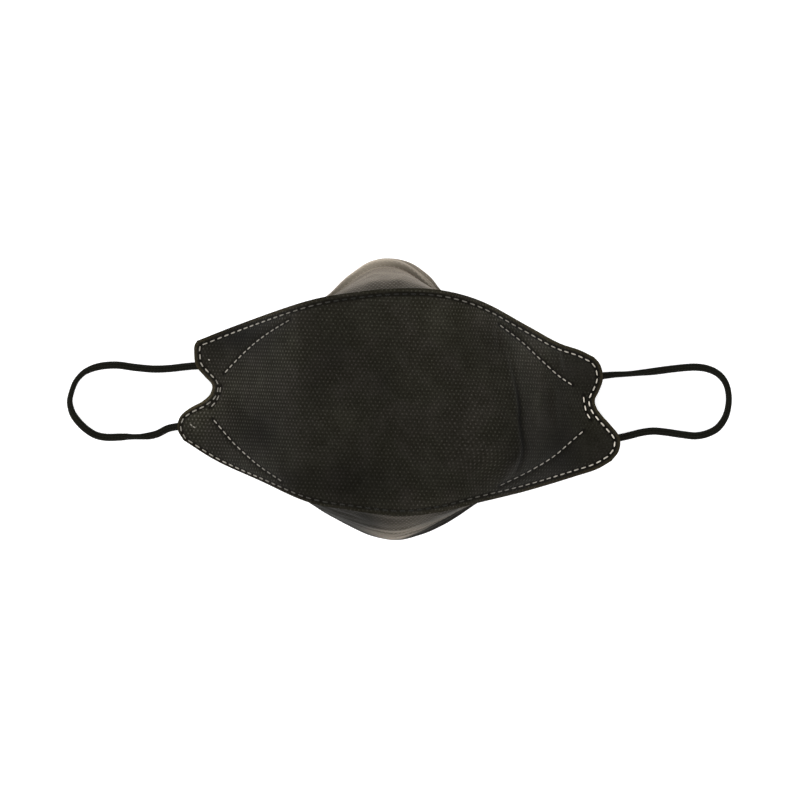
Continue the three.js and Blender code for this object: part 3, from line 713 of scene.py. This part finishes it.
def front_surface(along, across):
    plan = front_plan(along, across)
    x, y = plan[:, 0], plan[:, 1]
    relief, rim, near = front_relief(plan)
    points = under_front(plan, -WALL / 2 - relief)
    brown = (1 - ease((rim - 0.5) / 0.8)) * (0.15 + 0.85 * ease((np.abs(x) - 26) / 24))
    # The crease's dark line is painted shade, drawn along the fold beside its shallow groove.
    gap, share = gap_to(plan, drawn(CREASE, 40))
    crease_shade = bell(gap, CREASE_SHADE_WIDTH) * within(share, 0.12, 0.92, 0.3, 0.25)
    # The first tone is painted light and shade; the second says how deep the dots are pressed.
    tones = [0.5 + 0.5 * patches(x, y, PAINTED_LIGHT_AND_SHADE), 0.9 + patches(x, y, PRESSED)]
    # The weld value is the gap to the nearest weld row, made larger where the painted weld shade is
    # faint.
    return points, front_cloth(x, y), [brown, near + patches(x, y, FAINT_WELD_SHADE), crease_shade, *tones]


front = laid_grid("front_panel_cloth", *FRONT_CELLS, front_surface,
                  ["brown", "weld", "crease_shade", "painted_shading", "pressed"])
print("front panel:", len(front.data.polygons), "cells")

# %% [markdown]
# ## Nose and chin panels
# Each side panel starts at the cut edge, runs in under the lobe as far as the weld, turns there,
# and goes down as a wall to a free hem round the opening for the face. It is drawn as a family of
# section lines from the left notch to the right one.
# The hem of the nose panel holds a soft wire, sealed between two layers, which stands up as a
# rounded ridge.

# %% Section tables
# cut: share of the way round the cut edge; seam: the weld in plan; hem: the free edge;
# bulge: how far the wall bellies out; flare: how far the hem stands out. All in mm.
NOSE_SECTIONS = [   # cut, seam x, seam y, hem x, hem y, hem z, bulge, flare
    (0.016, -64.2, 4.4, -62.4, 5.6, 9, 0, 0), (0.045, -61.4, 7.8, -60, 9.8, 6.2, 0.2, 0.2),
    (0.1, -55.5, 12.8, -55.4, 15.4, 3.6, 0.6, 0.6), (0.185, -47.5, 19.4, -48.4, 22.2, 1.4, 1, 1),
    (0.275, -38.6, 26.6, -38.4, 29.6, 0.3, 1.4, 1.5), (0.365, -26.5, 32.6, -25.8, 37, 0, 1.8, 2.2),
    (0.42, -17.5, 34.6, -17.1, 44.9, 0, 2.2, 2.6), (0.47, -9.5, 35.8, -10.6, 49.5, 0, 2.4, 2.8),
    (0.512, -3, 36.5, -4.2, 50.4, 0, 2.4, 3), (0.555, 4, 36.8, 2.6, 49, 0, 2.2, 3.8),
    (0.6, 11, 36.4, 8.8, 45.2, 0, 2, 5), (0.655, 19.5, 34.6, 14.8, 38.9, 0, 1.6, 4),
    (0.75, 33.6, 28.4, 31.6, 31.4, 0, 1.4, 2), (0.835, 44, 20.6, 44.4, 23.4, 1, 1, 1),
    (0.915, 54, 13.4, 54.6, 15.8, 3.6, 0.6, 0.6), (0.96, 61.4, 8.2, 60.6, 9.8, 6.2, 0.2, 0.2),
    (0.986, 66.4, 4.8, 64.6, 5.6, 9, 0, 0),
]
CHIN_SECTIONS = [
    (0.012, -65.2, 0.2, -62.8, -0.9, 9, 0, 0), (0.045, -66.6, -6, -63.2, -7.6, 6.6, 0.2, 0),
    (0.095, -63, -12.6, -60.2, -14.2, 4.4, 0.4, 0.2), (0.17, -54, -19.8, -52.8, -22.6, 2.2, 0.8, 0.4),
    (0.245, -45.4, -26.4, -44.6, -29.4, 0.6, 1.2, 0.6), (0.31, -37, -32.4, -36, -34.8, 0, 1.6, 0.8),
    (0.365, -28.5, -35.2, -27.9, -40.4, 0, 2, 0.8), (0.425, -18, -37, -17.6, -45.7, 0, 2.4, 0.8),
    (0.475, -8.5, -38, -8.5, -49.5, 0, 2.8, 0.6), (0.525, 0.5, -38.6, 0, -50.9, 0, 3, 0.6),
    (0.575, 9.5, -37.8, 8.8, -49, 0, 2.8, 1.6), (0.63, 18.5, -36, 17.6, -44.9, 0, 2.2, 2.8),
    (0.69, 28, -32.8, 27, -38.4, 0, 1.8, 2.4), (0.755, 37.2, -28.8, 36.6, -31.6, 0, 1.4, 1.2),
    (0.82, 46.6, -22.6, 46.2, -25.8, 1, 1, 0.6), (0.89, 56.4, -16.2, 55.4, -19, 2.8, 0.6, 0.4),
    (0.945, 66.2, -9.6, 63.2, -11.4, 5.4, 0.2, 0.2), (0.975, 68.8, -3.8, 66, -5, 7.6, 0, 0),
    (0.99, 67.8, 0.6, 65.6, -0.4, 9.2, 0, 0),
]
LAYER_GAP, CUT_INSET, HEM_PRESS = 0.6, 0.5, 0.5
TURN_DROP, TURN_REACH, FOOT_HEIGHT = 3.0, 0.4, 5.5
LOBE_STEPS, WALL_STEPS = 4, 5
LOBE_ROW_SHARE = 0.2    # of the grid's rows, those under the lobe
SEAM_PLACE = LOBE_STEPS / (LOBE_STEPS + WALL_STEPS)


# %% Section lines
def section_lines(sections, ends, places):
    """The guide points of the section lines at places from the left notch to the right one."""
    sections = np.asarray(sections, float)
    share, bulge, flare = smooth_line(sections[:, [0, 6, 7]], places).T
    seam = smooth_line(np.c_[sections[:, 1:3], np.zeros(len(sections))], places)
    hem = smooth_line(sections[:, 3:6], places) - (0, 0, HEM_PRESS)
    cut = at_shares(np.concatenate(ends), np.clip(share, 0, 1))
    inward = unit(seam - cut)
    cut += inward * CUT_INSET
    lobe = [under_front(cut + (seam - cut) * k / LOBE_STEPS, WALL + LAYER_GAP)
            for k in range(LOBE_STEPS + 1)]
    weld, outward = lobe[-1], np.array([0, math.copysign(1, hem[len(hem) // 2, 1]), 0])
    tall = weld[:, 2] - hem[:, 2]
    turn = weld + inward * TURN_REACH
    turn[:, 2] -= np.minimum(TURN_DROP, tall / 3)
    foot = hem - outward * flare[:, None]
    foot[:, 2] += np.minimum(FOOT_HEIGHT, tall / 4)
    upper = turn + (foot - turn) * 0.33 + outward * bulge[:, None]
    lower = turn + (foot - turn) * 0.7 + outward * bulge[:, None] * 0.6
    return np.array([*lobe, turn, upper, lower, foot, hem])


def side_wall(sections, ends, columns, rows):
    """Points, facing and cloth places of a side panel, as arrays of rows by columns."""
    places = np.linspace(0, 1, columns + 1)
    down = np.linspace(0, 1, rows + 1)
    down = np.where(down < LOBE_ROW_SHARE, down / LOBE_ROW_SHARE * SEAM_PLACE,
                    SEAM_PLACE + (down - LOBE_ROW_SHARE) / (1 - LOBE_ROW_SHARE) * (1 - SEAM_PLACE))
    wall = smooth_line(section_lines(sections, ends, places), down)
    facing = unit(np.cross(np.gradient(wall, axis=0), np.gradient(wall, axis=1)))
    middle = (rows + 1) * 2 // 3, (columns + 1) // 2
    facing *= math.copysign(1, facing[middle][1] * wall[middle][1])
    fall = np.concatenate([np.zeros((1, columns + 1)),
                           np.cumsum(np.linalg.norm(np.diff(wall, axis=0), axis=2), axis=0)])
    across = run_along(wall[rows // 2])
    return wall, facing, fall, np.broadcast_to(across - across[-1] / 2, fall.shape), down


CUT_ENDS = {
    "nose": [drawn(LEFT_END_UPPER), EDGES["top"][1:], drawn(RIGHT_END_UPPER)[::-1][1:]],
    "chin": [drawn(LEFT_END_LOWER), EDGES["bottom"][1:], drawn(RIGHT_END_LOWER)[::-1][1:]],
}
print("section lines are ready")

# %% Details of the two walls
WIRE_ABOVE_HEM, WIRE_RIDGE, WIRE_HALF = 6.6, 1.5, 3.0
WIRE_FROM, WIRE_TO = 0.235, 0.815
RIDGE_OUT, RIDGE_OUT_REACH = 1.3, 6.0     # left of the nose the ridge leans out over the hem
SEAL_GAP, SEAL_WIDTH, SEAL_DEPTH = 0.5, 0.45, 0.22    # the pressed lines beside the wire
PADDING_REACH = 3.9
HEM_BAND, HEM_BAND_WIDTH, HEM_BAND_DEPTH = 2.0, 0.6, 0.18
HEM_CLEAR = 0.05
PUCKER, PUCKER_SIZE = 0.22, 7.0
HEM_LIFT_REACH = 8.0   # how far up the wall is eased so that its hem stands on the table
LOBE_CLOSE = 1.0       # how far the cloth lies up against the lobe, from the frame's gap
NOSE_FOLDS = [   # places on the flat cloth, measured along the panel and up from the hem
    ([(-30, 34), (-18, 26), (-6, 22)], 1.8, 0.25), ([(26, 34), (18, 22), (12, 14)], 1.6, 0.3),
    ([(-36, 22), (-26, 14), (-16, 11)], 1.5, -0.3), ([(30, 24), (24, 15), (18, 11)], 1.4, -0.35),
    ([(-4, 40), (0, 30), (2, 18)], 2.2, 0.2),
]
CHIN_FOLDS = [
    ([(-44, 36), (-28, 40), (-8, 42), (14, 41)], 1.3, 0.45),
    ([(-46, 30), (-28, 33), (-6, 35)], 1.2, -0.5), ([(-40, 24), (-22, 28), (-2, 29), (16, 33)], 1.5, 0.5),
    ([(-34, 17), (-16, 20), (6, 22), (22, 27)], 1.3, -0.45),
    ([(-8, 14), (10, 16), (26, 22), (38, 31)], 1.2, 0.5),
    ([(4, 9), (20, 12), (34, 20), (42, 28)], 1, -0.4), ([(12, 38), (24, 33), (36, 33)], 1.6, 0.35),
    ([(-24, 9), (-8, 10), (8, 9)], 1.4, 0.25),
]
# Soft patches of painted sheen and shade, and of painted highlight where the cloth is pale:
# share along the panel, height over the hem, reach both ways, amount.
NOSE_PAINTED_SHEEN = [
    (0.5, 22, 0.4, 60, 0.8), (0.5, 44, 0.3, 9, -0.3), (0.3, 20, 0.07, 30, -0.1), (0.6, 14, 0.06, 4, 0.2),
]
CHIN_PAINTED_SHEEN = [
    (0.5, 16, 0.35, 60, 0.6), (0.38, 20, 0.07, 40, -0.6), (0.42, 34, 0.1, 9, -0.3),
    (0.62, 30, 0.08, 10, -0.3), (0.62, 9, 0.1, 6, 0.4), (0.52, 20, 0.05, 14, 0.2),
    (0.63, 0, 0.08, 6.4, -2), (0.41, 0, 0.08, 5, -0.8), (0.57, 15, 0.07, 3, -0.3),
]
# Painted highlight: the wire's ridge, the hem and the chin's middle painted pale where grazing light
# falls on them.
NOSE_PAINTED_HIGHLIGHT = [(0.44, 6.6, 0.12, 4, 1), (0.6, 2, 0.06, 5, 0.5), (0.42, 0, 0.12, 3, 0.4)]
CHIN_PAINTED_HIGHLIGHT = [(0.5, 5, 0.05, 6, 0.16), (0.5, 22, 0.2, 20, 0.04)]


def wire_pocket(along, over_hem, relief):
    """Relief with the wire's ridge and its two sealed lines added, their tone and the padding."""
    share = within(along, WIRE_FROM, WIRE_TO, 0.02)
    above = over_hem - WIRE_ABOVE_HEM
    wire = share * bell(above, WIRE_HALF, 6)
    relief = relief * (1 - wire) + WIRE_RIDGE * wire
    seam = np.zeros(len(along))
    for edge in (-1, 1):
        row = bell(above - edge * (WIRE_HALF + SEAL_GAP), SEAL_WIDTH)
        relief -= share * SEAL_DEPTH * row
        seam = np.maximum(seam, share * row * ease((along - 0.42) / 0.1))
    relief += within(along, 0.28, 0.6, 0.08, 0.1) * RIDGE_OUT * bell(above, RIDGE_OUT_REACH)
    return relief, seam, np.maximum(relief, 0) * share * bell(above, PADDING_REACH, 6)


# %% The nose and chin panels
def side_panel(name, ends, sections, folds, painted_sheen, painted_highlight, wired, columns=260, rows=110):
    """A nose or chin panel, laid between its cut edge and its hem."""
    wall, facing, fall, across, down = side_wall(sections, ends, columns, rows)

    def surface(along, depth):
        i, j = np.round(depth * rows).astype(int), np.round(along * columns).astype(int)
        points, out = wall[i, j], facing[i, j]
        over_hem = fall[-1, j] - fall[i, j]
        flat = np.stack([across[i, j], over_hem, np.zeros(len(i))], -1)
        on_wall = ease((down[i] - SEAM_PLACE) / 0.05)
        relief = (line_folds(flat, folds) + PUCKER * wavy(flat, PUCKER_SIZE, 11.0)
                  - HEM_BAND_DEPTH * bell(over_hem - HEM_BAND, HEM_BAND_WIDTH)) * on_wall
        seam, padding = np.zeros((2, len(i)))
        if wired:
            relief, seam, padding = wire_pocket(along, over_hem, relief)
        points = points + out * (WALL / 2 + relief)[:, None]
        points[:, 2] += LOBE_CLOSE * (1 - ease((down[i] - SEAM_PLACE * 0.7) / (SEAM_PLACE * 0.3)))
        hem = np.zeros(columns + 1)
        hem[j[i == rows]] = (points[:, 2] - CLOTH * np.maximum(out[:, 2], 0))[i == rows]
        points[:, 2] += np.maximum(HEM_CLEAR - hem, 0)[j] * ease(1 - over_hem / HEM_LIFT_REACH)
        # Painted sheen and shade, and painted highlight, in soft patches over the wall.
        tones = [np.clip(patches(along, over_hem, table), 0, 1) for table in (painted_sheen, painted_highlight)]
        return points, flat[:, :2], [*tones, seam, padding]

    return laid_grid(name, columns, rows, surface, ["painted_sheen", "painted_highlight", "seam", "padding"])


nose, chin = (
    side_panel(side + "_panel_cloth", CUT_ENDS[side], *tables)
    for side, *tables in (("nose", NOSE_SECTIONS, NOSE_FOLDS, NOSE_PAINTED_SHEEN, NOSE_PAINTED_HIGHLIGHT, True),
                          ("chin", CHIN_SECTIONS, CHIN_FOLDS, CHIN_PAINTED_SHEEN, CHIN_PAINTED_HIGHLIGHT, False)))
print("side panels:", len(nose.data.polygons), "and", len(chin.data.polygons), "cells")

# %% [markdown]
# ## Giving the cloth its thickness
# A Solidify modifier turns each sheet into a wall. It grows inwards from the outer face, so the
# outside keeps its place. Where the nose wire lies the wall is as much thicker as its ridge is
# high: the wire is sealed between two layers, and the inner one stays where it was.

# %% Thickness
INSIDE = Vector((0, 0, 0.02))      # a place inside the cup

for piece in (front, nose, chin):
    middle = piece.data.polygons[len(piece.data.polygons) // 2]
    wall = piece.modifiers.new("cloth", "SOLIDIFY")
    wall.thickness = CLOTH * MM
    wall.offset = 1 if (INSIDE - middle.center).dot(middle.normal) > 0 else -1
    wall.use_even_offset = False

padding = [stored.value for stored in nose.data.attributes["padding"].data]
thickest = CLOTH + max(padding)
group = nose.vertex_groups.new(name="thickness")
for k, more in enumerate(padding):
    group.add([k], (CLOTH + more) / thickest, "REPLACE")
wall = nose.modifiers["cloth"]
wall.thickness, wall.vertex_group = thickest * MM, group.name
print("cloth is", CLOTH, "mm thick")

# %% [markdown]
# ## Weld dashes
# Under each dash the fabric is melted to a clear film. Its colour is painted backlight: pale where
# light is painted as coming through, as at the notches, and almost lost in the middle of the long
# edges, where the black walls are right below. Each dash is a small bevelled bar that is stamped along
# the rows.

# %% One dash
DASH_PITCH, DASH_SHARE, DASH_WIDTH, DASH_HEIGHT = 3.05, 0.62, 0.5, 0.3
DASH_PROUD = 0.14      # how far a dash stands over the floor of its groove
LOBE_DASHES = 14       # dashes in each row along a lobe


def rounded(bm, offset, segments, chosen):
    """Bevels the edges whose two ends, as heights, are chosen."""
    edges = [e for e in bm.edges if chosen(*(v.co.z for v in e.verts))]
    bmesh.ops.bevel(bm, geom=edges, offset=offset, segments=segments, profile=0.5,
                    affect="EDGES", material=-1)


def dash_shape():
    """A bar one unit long, wide and high with rounded ends, on which every dash is based."""
    bm = bmesh.new()
    bmesh.ops.create_cube(bm, size=1)
    rounded(bm, 0.3, 2, lambda a, b: abs(a - b) > 0.5)
    rounded(bm, 0.16, 1, lambda a, b: min(a, b) > 0.49)
    return mesh_of("dash", bm)


DASH = dash_shape()


# %% Dashes along a row
def stamped(name, rows, pitch, width, share=DASH_SHARE, slack=0.6):
    """Dashes along rows of places in plan; a row comes with its number of dashes, or with 0."""
    bm = bmesh.new()
    painted_backlight = bm.verts.layers.float.new("painted_backlight")
    total = 0
    for row, count in rows:
        points, facing, backlight = on_front(row)
        run = run_along(points * (1, 1, slack))
        count = count or max(1, round(run[-1] / pitch))
        pitch = run[-1] / count
        places = (np.arange(count) + 0.5) * pitch
        total += count
        spot, out = between(places, run, points), between(places, run, facing)
        ahead = between(places + pitch / 4, run, points) - between(places - pitch / 4, run, points)
        for place, n, along, seen in zip(spot, out, ahead, np.interp(places, run, backlight)):
            n, x = Vector(n).normalized(), Vector(along).normalized()
            side = n.cross(x).normalized()
            size = (np.linalg.norm(along) * 2 * share, width, DASH_HEIGHT)
            turn = Matrix((side.cross(n), side, n)).transposed() @ Matrix.Diagonal(size)
            start = len(bm.verts)
            bm.from_mesh(DASH)
            bm.verts.ensure_lookup_table()
            for vertex in bm.verts[start:]:
                vertex.co = Vector(in_frame(Vector(place) + turn @ vertex.co))
                vertex[painted_backlight] = seen
    print(name, "has", total, "dashes")
    return placed(name, mesh_of(name, bm))


# %% Dashes on the front panel
FILM_BACKLIGHT = [   # x, painted light through the film in the upper half and in the lower half
    (-82, 0.28, 0.22), (-60, 0.36, 0.34), (-44, 0.2, 0.15), (-32, 0.05, 0.04), (-20, 0, 0.01), (8, 0, 0),
    (20, 0.12, 0.01), (30, 0.2, 0.07), (40, 0.28, 0.14), (54, 0.42, 0.36), (66, 0.58, 0.5),
    (82, 0.75, 0.95),
]
# Painted light through the film at the two notches.
NOTCH_BACKLIGHT = {-1: 0.2, 1: 1.0}     # at the left notch and at the right one


def on_front(row):
    """Points on the floor of the weld groove, their facing, and the light painted as shining through the
    film.
    """
    x, y = row[:, 0], row[:, 1]
    painted_backlight = np.where(y > 0, table_value(FILM_BACKLIGHT, 1, x), table_value(FILM_BACKLIGHT, 2, x))
    at_notch = ease((np.abs(x) - 62) / 4) * ease((7 - np.abs(y)) / 4)
    painted_backlight += at_notch * (np.where(x < 0, NOTCH_BACKLIGHT[-1], NOTCH_BACKLIGHT[1]) - painted_backlight)
    lift = WALL / 2 + front_relief(row)[0] - DASH_HEIGHT / 2 + DASH_PROUD
    return under_front(row, -lift), front_facing(x, y), painted_backlight


rows = [(row, LOBE_DASHES if 0 < k <= len(LOBE_ROWS) else 0) for k, row in enumerate(WELD_ROWS)]
dashes = stamped("front_weld_dashes", rows, DASH_PITCH, DASH_WIDTH)

# %% [markdown]
# ## Marks of the loop ends
# Each end of an elastic is welded inside its lobe with a small stamp of its own. On the two
# left lobes it shows through to the outside as a short pale mark, and on the right ones it doesn't.

# %% Loop end marks
END_MARKS = [
    [(-75.2, -11.9), (-74.2, -12.5)], [(-74.1, -12.7), (-73, -13.2)], [(-69.4, 11.4), (-68.6, 11.2)],
]
# The marks take the weld film and its painted backlight, which makes them pale.
marks = stamped("loop_end_marks", [(drawn(line, 12), 1) for line in END_MARKS], 1.3, 0.45, share=0.8)

# %% [markdown]
# ## Finishes
# All three panels are spun non-woven cloth with a hexagonal pattern of embossed dots. The pattern
# belongs to the flat cloth, so it is drawn on the cloth map in millimetres: it closes up where
# the cloth turns away, as the real one does.

# %% Non-woven cloth
DOT_PITCH, DOT_ROWS = 1.48, 1.28       # mm along a row and from row to row
FIBRE, WEAR, BLOTCH, TINT = 0.6, 2.0, 9.0, 17.0     # sizes in mm
DOT_RELIEF = 0.0002                     # in metres


def embossed_dots(along, across):
    """1 on a dot and 0 between: three waves that cross at 60 degrees all crest only on the dots."""
    crossing = ((along * (2 * math.pi / DOT_PITCH)).cosine()
                * (across * (math.pi / DOT_ROWS)).cosine())
    level = (across * (2 * math.pi / DOT_ROWS)).cosine()
    return (crossing * 2 + level).clipped(0.5, 2.6)


def woven_cloth(name, dark, light, dot_highlight_share, pressed=None, **sockets):
    """Non-woven cloth with embossed dots, fibres and blotches. Gives the parts to add to."""
    finish = Finish(name, **sockets)
    place, along, across = finish.cloth()
    fibres = finish.mottle(place, FIBRE, 5.0, 0.75)
    blotches = finish.mottle(place, BLOTCH, 5.0, 0.65)
    worn = finish.mottle(place, WEAR, 3.0, 0.6).clipped(0.3, 0.65)
    dots = embossed_dots(along, across) * (worn * 0.75 + 0.25)
    if pressed:
        dots = dots * finish.attribute(pressed)
    # The dot pattern is the cloth's real emboss, set as bump; its lighter colour on the dots is painted
    # highlight on their tops.
    tone = dots * dot_highlight_share + fibres * 1.5 + blotches.clipped(0.3, 0.75) * 0.22 - 0.7
    tint = finish.mottle(place, TINT).clipped(0.42, 0.6)
    light = finish.blend(tint, light, tuple(c * k for c, k in zip(light, (1.03, 0.97, 1.06))))
    bent = finish.bump(dots * 0.8 + fibres * 0.4, DOT_RELIEF)
    return finish, dots, fibres, finish.blend(tone.maths("MAXIMUM", tone, 0.0), dark, light), bent


# %% The front panel's finish
WARM = (1.0, 0.93, 0.8, 1)
# WELD_ROW_SHADE is the dark line along the weld rows: partly pressed cloth, partly painted shade.
BROWN_RIM, WELD_ROW_SHADE = (0.03, 0.0235, 0.0115), (0.0022, 0.0019, 0.0012)
# Painted shade for the crease's dark line.
CREASE_SHADE = (0.0008, 0.0007, 0.0005)
shell, dots, fibres, colour, _ = woven_cloth(
    "black_cloth", (0.0054, 0.005, 0.003), (0.033, 0.0316, 0.025), 0.85, "pressed",
    Specular_IOR_Level=0.05, Specular_Tint=WARM)
painted_shading = shell.attribute("painted_shading")
# Along the weld rows the colour darkens: partly the pressed cloth's own darker line, partly painted shade
# in the groove.
weld = 1 - shell.attribute("weld").clipped(0.4, 1.2)
colour = shell.blend(shell.attribute("brown") * (fibres * 0.9 + 0.1), colour, BROWN_RIM)
# Painted light and shade: the colour is scaled from black up to twice as light.
colour = shell.blend(1.0, colour, shell.blend(painted_shading, (0.0, 0.0, 0.0), (2.0, 2.0, 2.0)), "MULTIPLY")
colour = shell.blend(weld * 0.85, colour, WELD_ROW_SHADE)
# Painted shade darkens the crease.
colour = shell.blend(shell.attribute("crease_shade").clipped(0, 1) * (fibres + 0.35), colour, CREASE_SHADE)
shell.set(Base_Color=colour, Roughness=0.62 - dots * 0.12 + fibres * 0.1)
front.data.materials.append(shell.material)
print("front panel finish:", len(shell.tree.nodes), "nodes")

# %% The side panels' finish
# A black copy and a satin copy of the cloth are mixed by painted sheen and shade. Seen along its
# surface the satin copy shines a warm grey; where the painted shade holds, the cloth stays black.
for panel, sheen, gloss, warm in (
        (nose, 0.4, 0.12, (1.0, 0.84, 0.66, 1)), (chin, 0.3, 0.08, (1.0, 0.83, 0.63, 1))):
    satin, dots, fibres, colour, bent = woven_cloth(
        panel.name + "_finish", (0.004, 0.0036, 0.0025), (0.02, 0.0185, 0.014), 0.4,
        Specular_IOR_Level=0.06, Specular_Tint=WARM)
    satin.set(Base_Color=colour, Roughness=0.6 + fibres * 0.1)
    painted_highlight, seam = satin.attribute("painted_highlight"), satin.attribute("seam")
    # The share of the satin copy is painted sheen and shade, with the painted highlight and the seam
    # added.
    share = satin.attribute("painted_sheen") * (fibres * 0.5 + dots * 0.25 + 0.7) + painted_highlight + seam
    tone = satin.blend(dots, (0.028, 0.024, 0.018), (0.06, 0.053, 0.042))
    # The painted highlight lightens the colour to a pale cream.
    tone = satin.blend(painted_highlight * (fibres * 0.9 + 0.5), tone, (0.3, 0.26, 0.205))
    tone = satin.blend(seam * (fibres * 1.2), tone, (0.02, 0.013, 0.006))
    satin.mixed(share.clipped(0, 1.1), Base_Color=tone, Roughness=0.5 + fibres * 0.1, Normal=bent,
                Specular_IOR_Level=gloss, Specular_Tint=WARM, Sheen_Weight=sheen, Sheen_Roughness=0.45,
                Sheen_Tint=warm)
    panel.data.materials.append(satin.material)

# %% Weld film
film = Finish("weld_film", Roughness=0.4, Specular_IOR_Level=0.12)
# The film's pale tan is painted backlight, from each dash's painted_backlight value.
painted_backlight = film.attribute("painted_backlight") * (film.mottle(film.place(), 0.0011) * 1.1 + 0.5)
film.set(Base_Color=film.blend(painted_backlight, (0.011, 0.0108, 0.0088), (0.66, 0.61, 0.52)))
for piece in (dashes, marks):
    piece.data.materials.append(film.material)

# %% Knitted elastic
knit = Finish("knitted_elastic", Specular_IOR_Level=0.05, Specular_Tint=WARM)
place, along, around = knit.cloth()
rib = (around * (2 * RIBS / ELASTIC)).cosine()
stitch = (along * (2 * math.pi / STITCH) + rib * 1.6).cosine()
thread = (rib * 0.5 + stitch * 0.5).clipped(-0.8, 0.9)
knit.set(Base_Color=knit.blend(thread, (0.0018, 0.0018, 0.0012), (0.0095, 0.0096, 0.007)),
         Roughness=0.72 - thread * 0.1)
knit.bump(knit.mottle(place, 0.3) * 0.5 + thread * 0.5, 0.0001)
for piece, _, _ in loops.values():
    piece.data.materials.append(knit.material)

# %% [markdown]
# ## Loop ends and nose wire
# Under the lobes each flattened loop end is a bevelled plate with the stamp's waffle pattern. The
# nose wire is sealed inside the hem, so it keeps the frame's own strip and only gets a finish.

# %% Flattened loop ends
PAD_LENGTH, PAD_WIDTH, PAD_THICK = 8.0, 5.0, 0.9
LOOP_ENDS = {
    "left_upper": ((-69.6, 10.6), (-0.99, -0.14)), "left_lower": ((-73.4, -12.6), (-0.99, -0.14)),
    "right_upper": ((68.6, 11.4), (0.99, 0.14)), "right_lower": ((73.6, -12.4), (0.99, 0.10)),
}
PAD_DEPTH = 1.5 * WALL + LAYER_GAP + 0.5 + PAD_THICK / 2
pads = {}
for name, (at, heading) in LOOP_ENDS.items():
    spots = np.array([at, np.add(at, heading), np.add(at, (-heading[1], heading[0]))])
    centre, ahead, aside = under_front(spots, PAD_DEPTH)
    x = Vector(ahead - centre).normalized()
    z = x.cross(Vector(aside - centre)).normalized()
    bm = bmesh.new()
    bmesh.ops.create_cube(bm, size=1, matrix=Matrix.Diagonal((PAD_LENGTH, PAD_WIDTH, PAD_THICK, 1)))
    rounded(bm, 2.3, 6, lambda a, b: abs(a - b) > 0.5 * PAD_THICK)
    rounded(bm, 0.2, 2, lambda a, b: abs(a - b) < 1e-4)
    turn = Matrix((x, z.cross(x), z)).transposed()
    for vertex in bm.verts:
        vertex.co = Vector(in_frame(Vector(centre) + turn @ vertex.co))
    for face in bm.faces:
        face.smooth = True
    title = "loop_end_" + name + "_pad"
    pads[name] = placed(title, mesh_of(title, bm))
print(len(pads), "loop ends")

# %% Finish of the loop ends and the wire
waffle = Finish("pressed_elastic", Specular_IOR_Level=0.12)
x, y = waffle.parts(waffle.place())
grid = ((x * 6000).cosine() * (y * 6000).cosine()).clipped(-0.4, 0.6)
waffle.set(Base_Color=waffle.blend(grid, (0.006, 0.006, 0.005), (0.02, 0.02, 0.017)),
           Roughness=0.45 + grid * 0.2)
waffle.bump(grid, 0.0001)
for pad in pads.values():
    pad.data.materials.append(waffle.material)

metal = Finish("soft_wire", Metallic=1.0)
stretched = metal.node("ShaderNodeMapping", {}, {"Vector": metal.place(), "Scale": (40, 900, 900)})
streaks = metal.mottle(stretched, 1.0, 3.0)
metal.set(Base_Color=metal.blend(streaks, (0.4, 0.4, 0.41), (0.62, 0.62, 0.63)),
          Roughness=0.3 + streaks * 0.2)
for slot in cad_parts["nose_wire"].material_slots:
    slot.material = metal.material

# %% [markdown]
# ## Fixing the pieces
# Every piece is fixed to the mask, and the parts of the frame that it stands for are hidden.

# %% What each piece stands for
pieces = [
    (front, "shell_fabric", ["front_panel"]), (nose, "side_fabric", ["nose_panel"]),
    (chin, "side_fabric", ["chin_panel"]), (dashes, "shell_fabric", []), (marks, "shell_fabric", []),
]
pieces += [(piece, "elastic", ["ear_loop_" + side]) for side, (piece, _, _) in loops.items()]
pieces += [(pad, "elastic", ["loop_end_" + name]) for name, pad in pads.items()]
for piece, finish_slot, nodes in pieces:
    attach(piece, "root")
    if nodes:
        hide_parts(*nodes)

# %% Cords
for side, length in (("left", 0.1085), ("right", 0.1109)):
    piece, line, _ = loops[side]
    pads[side + "_upper"]
    pads[side + "_lower"]
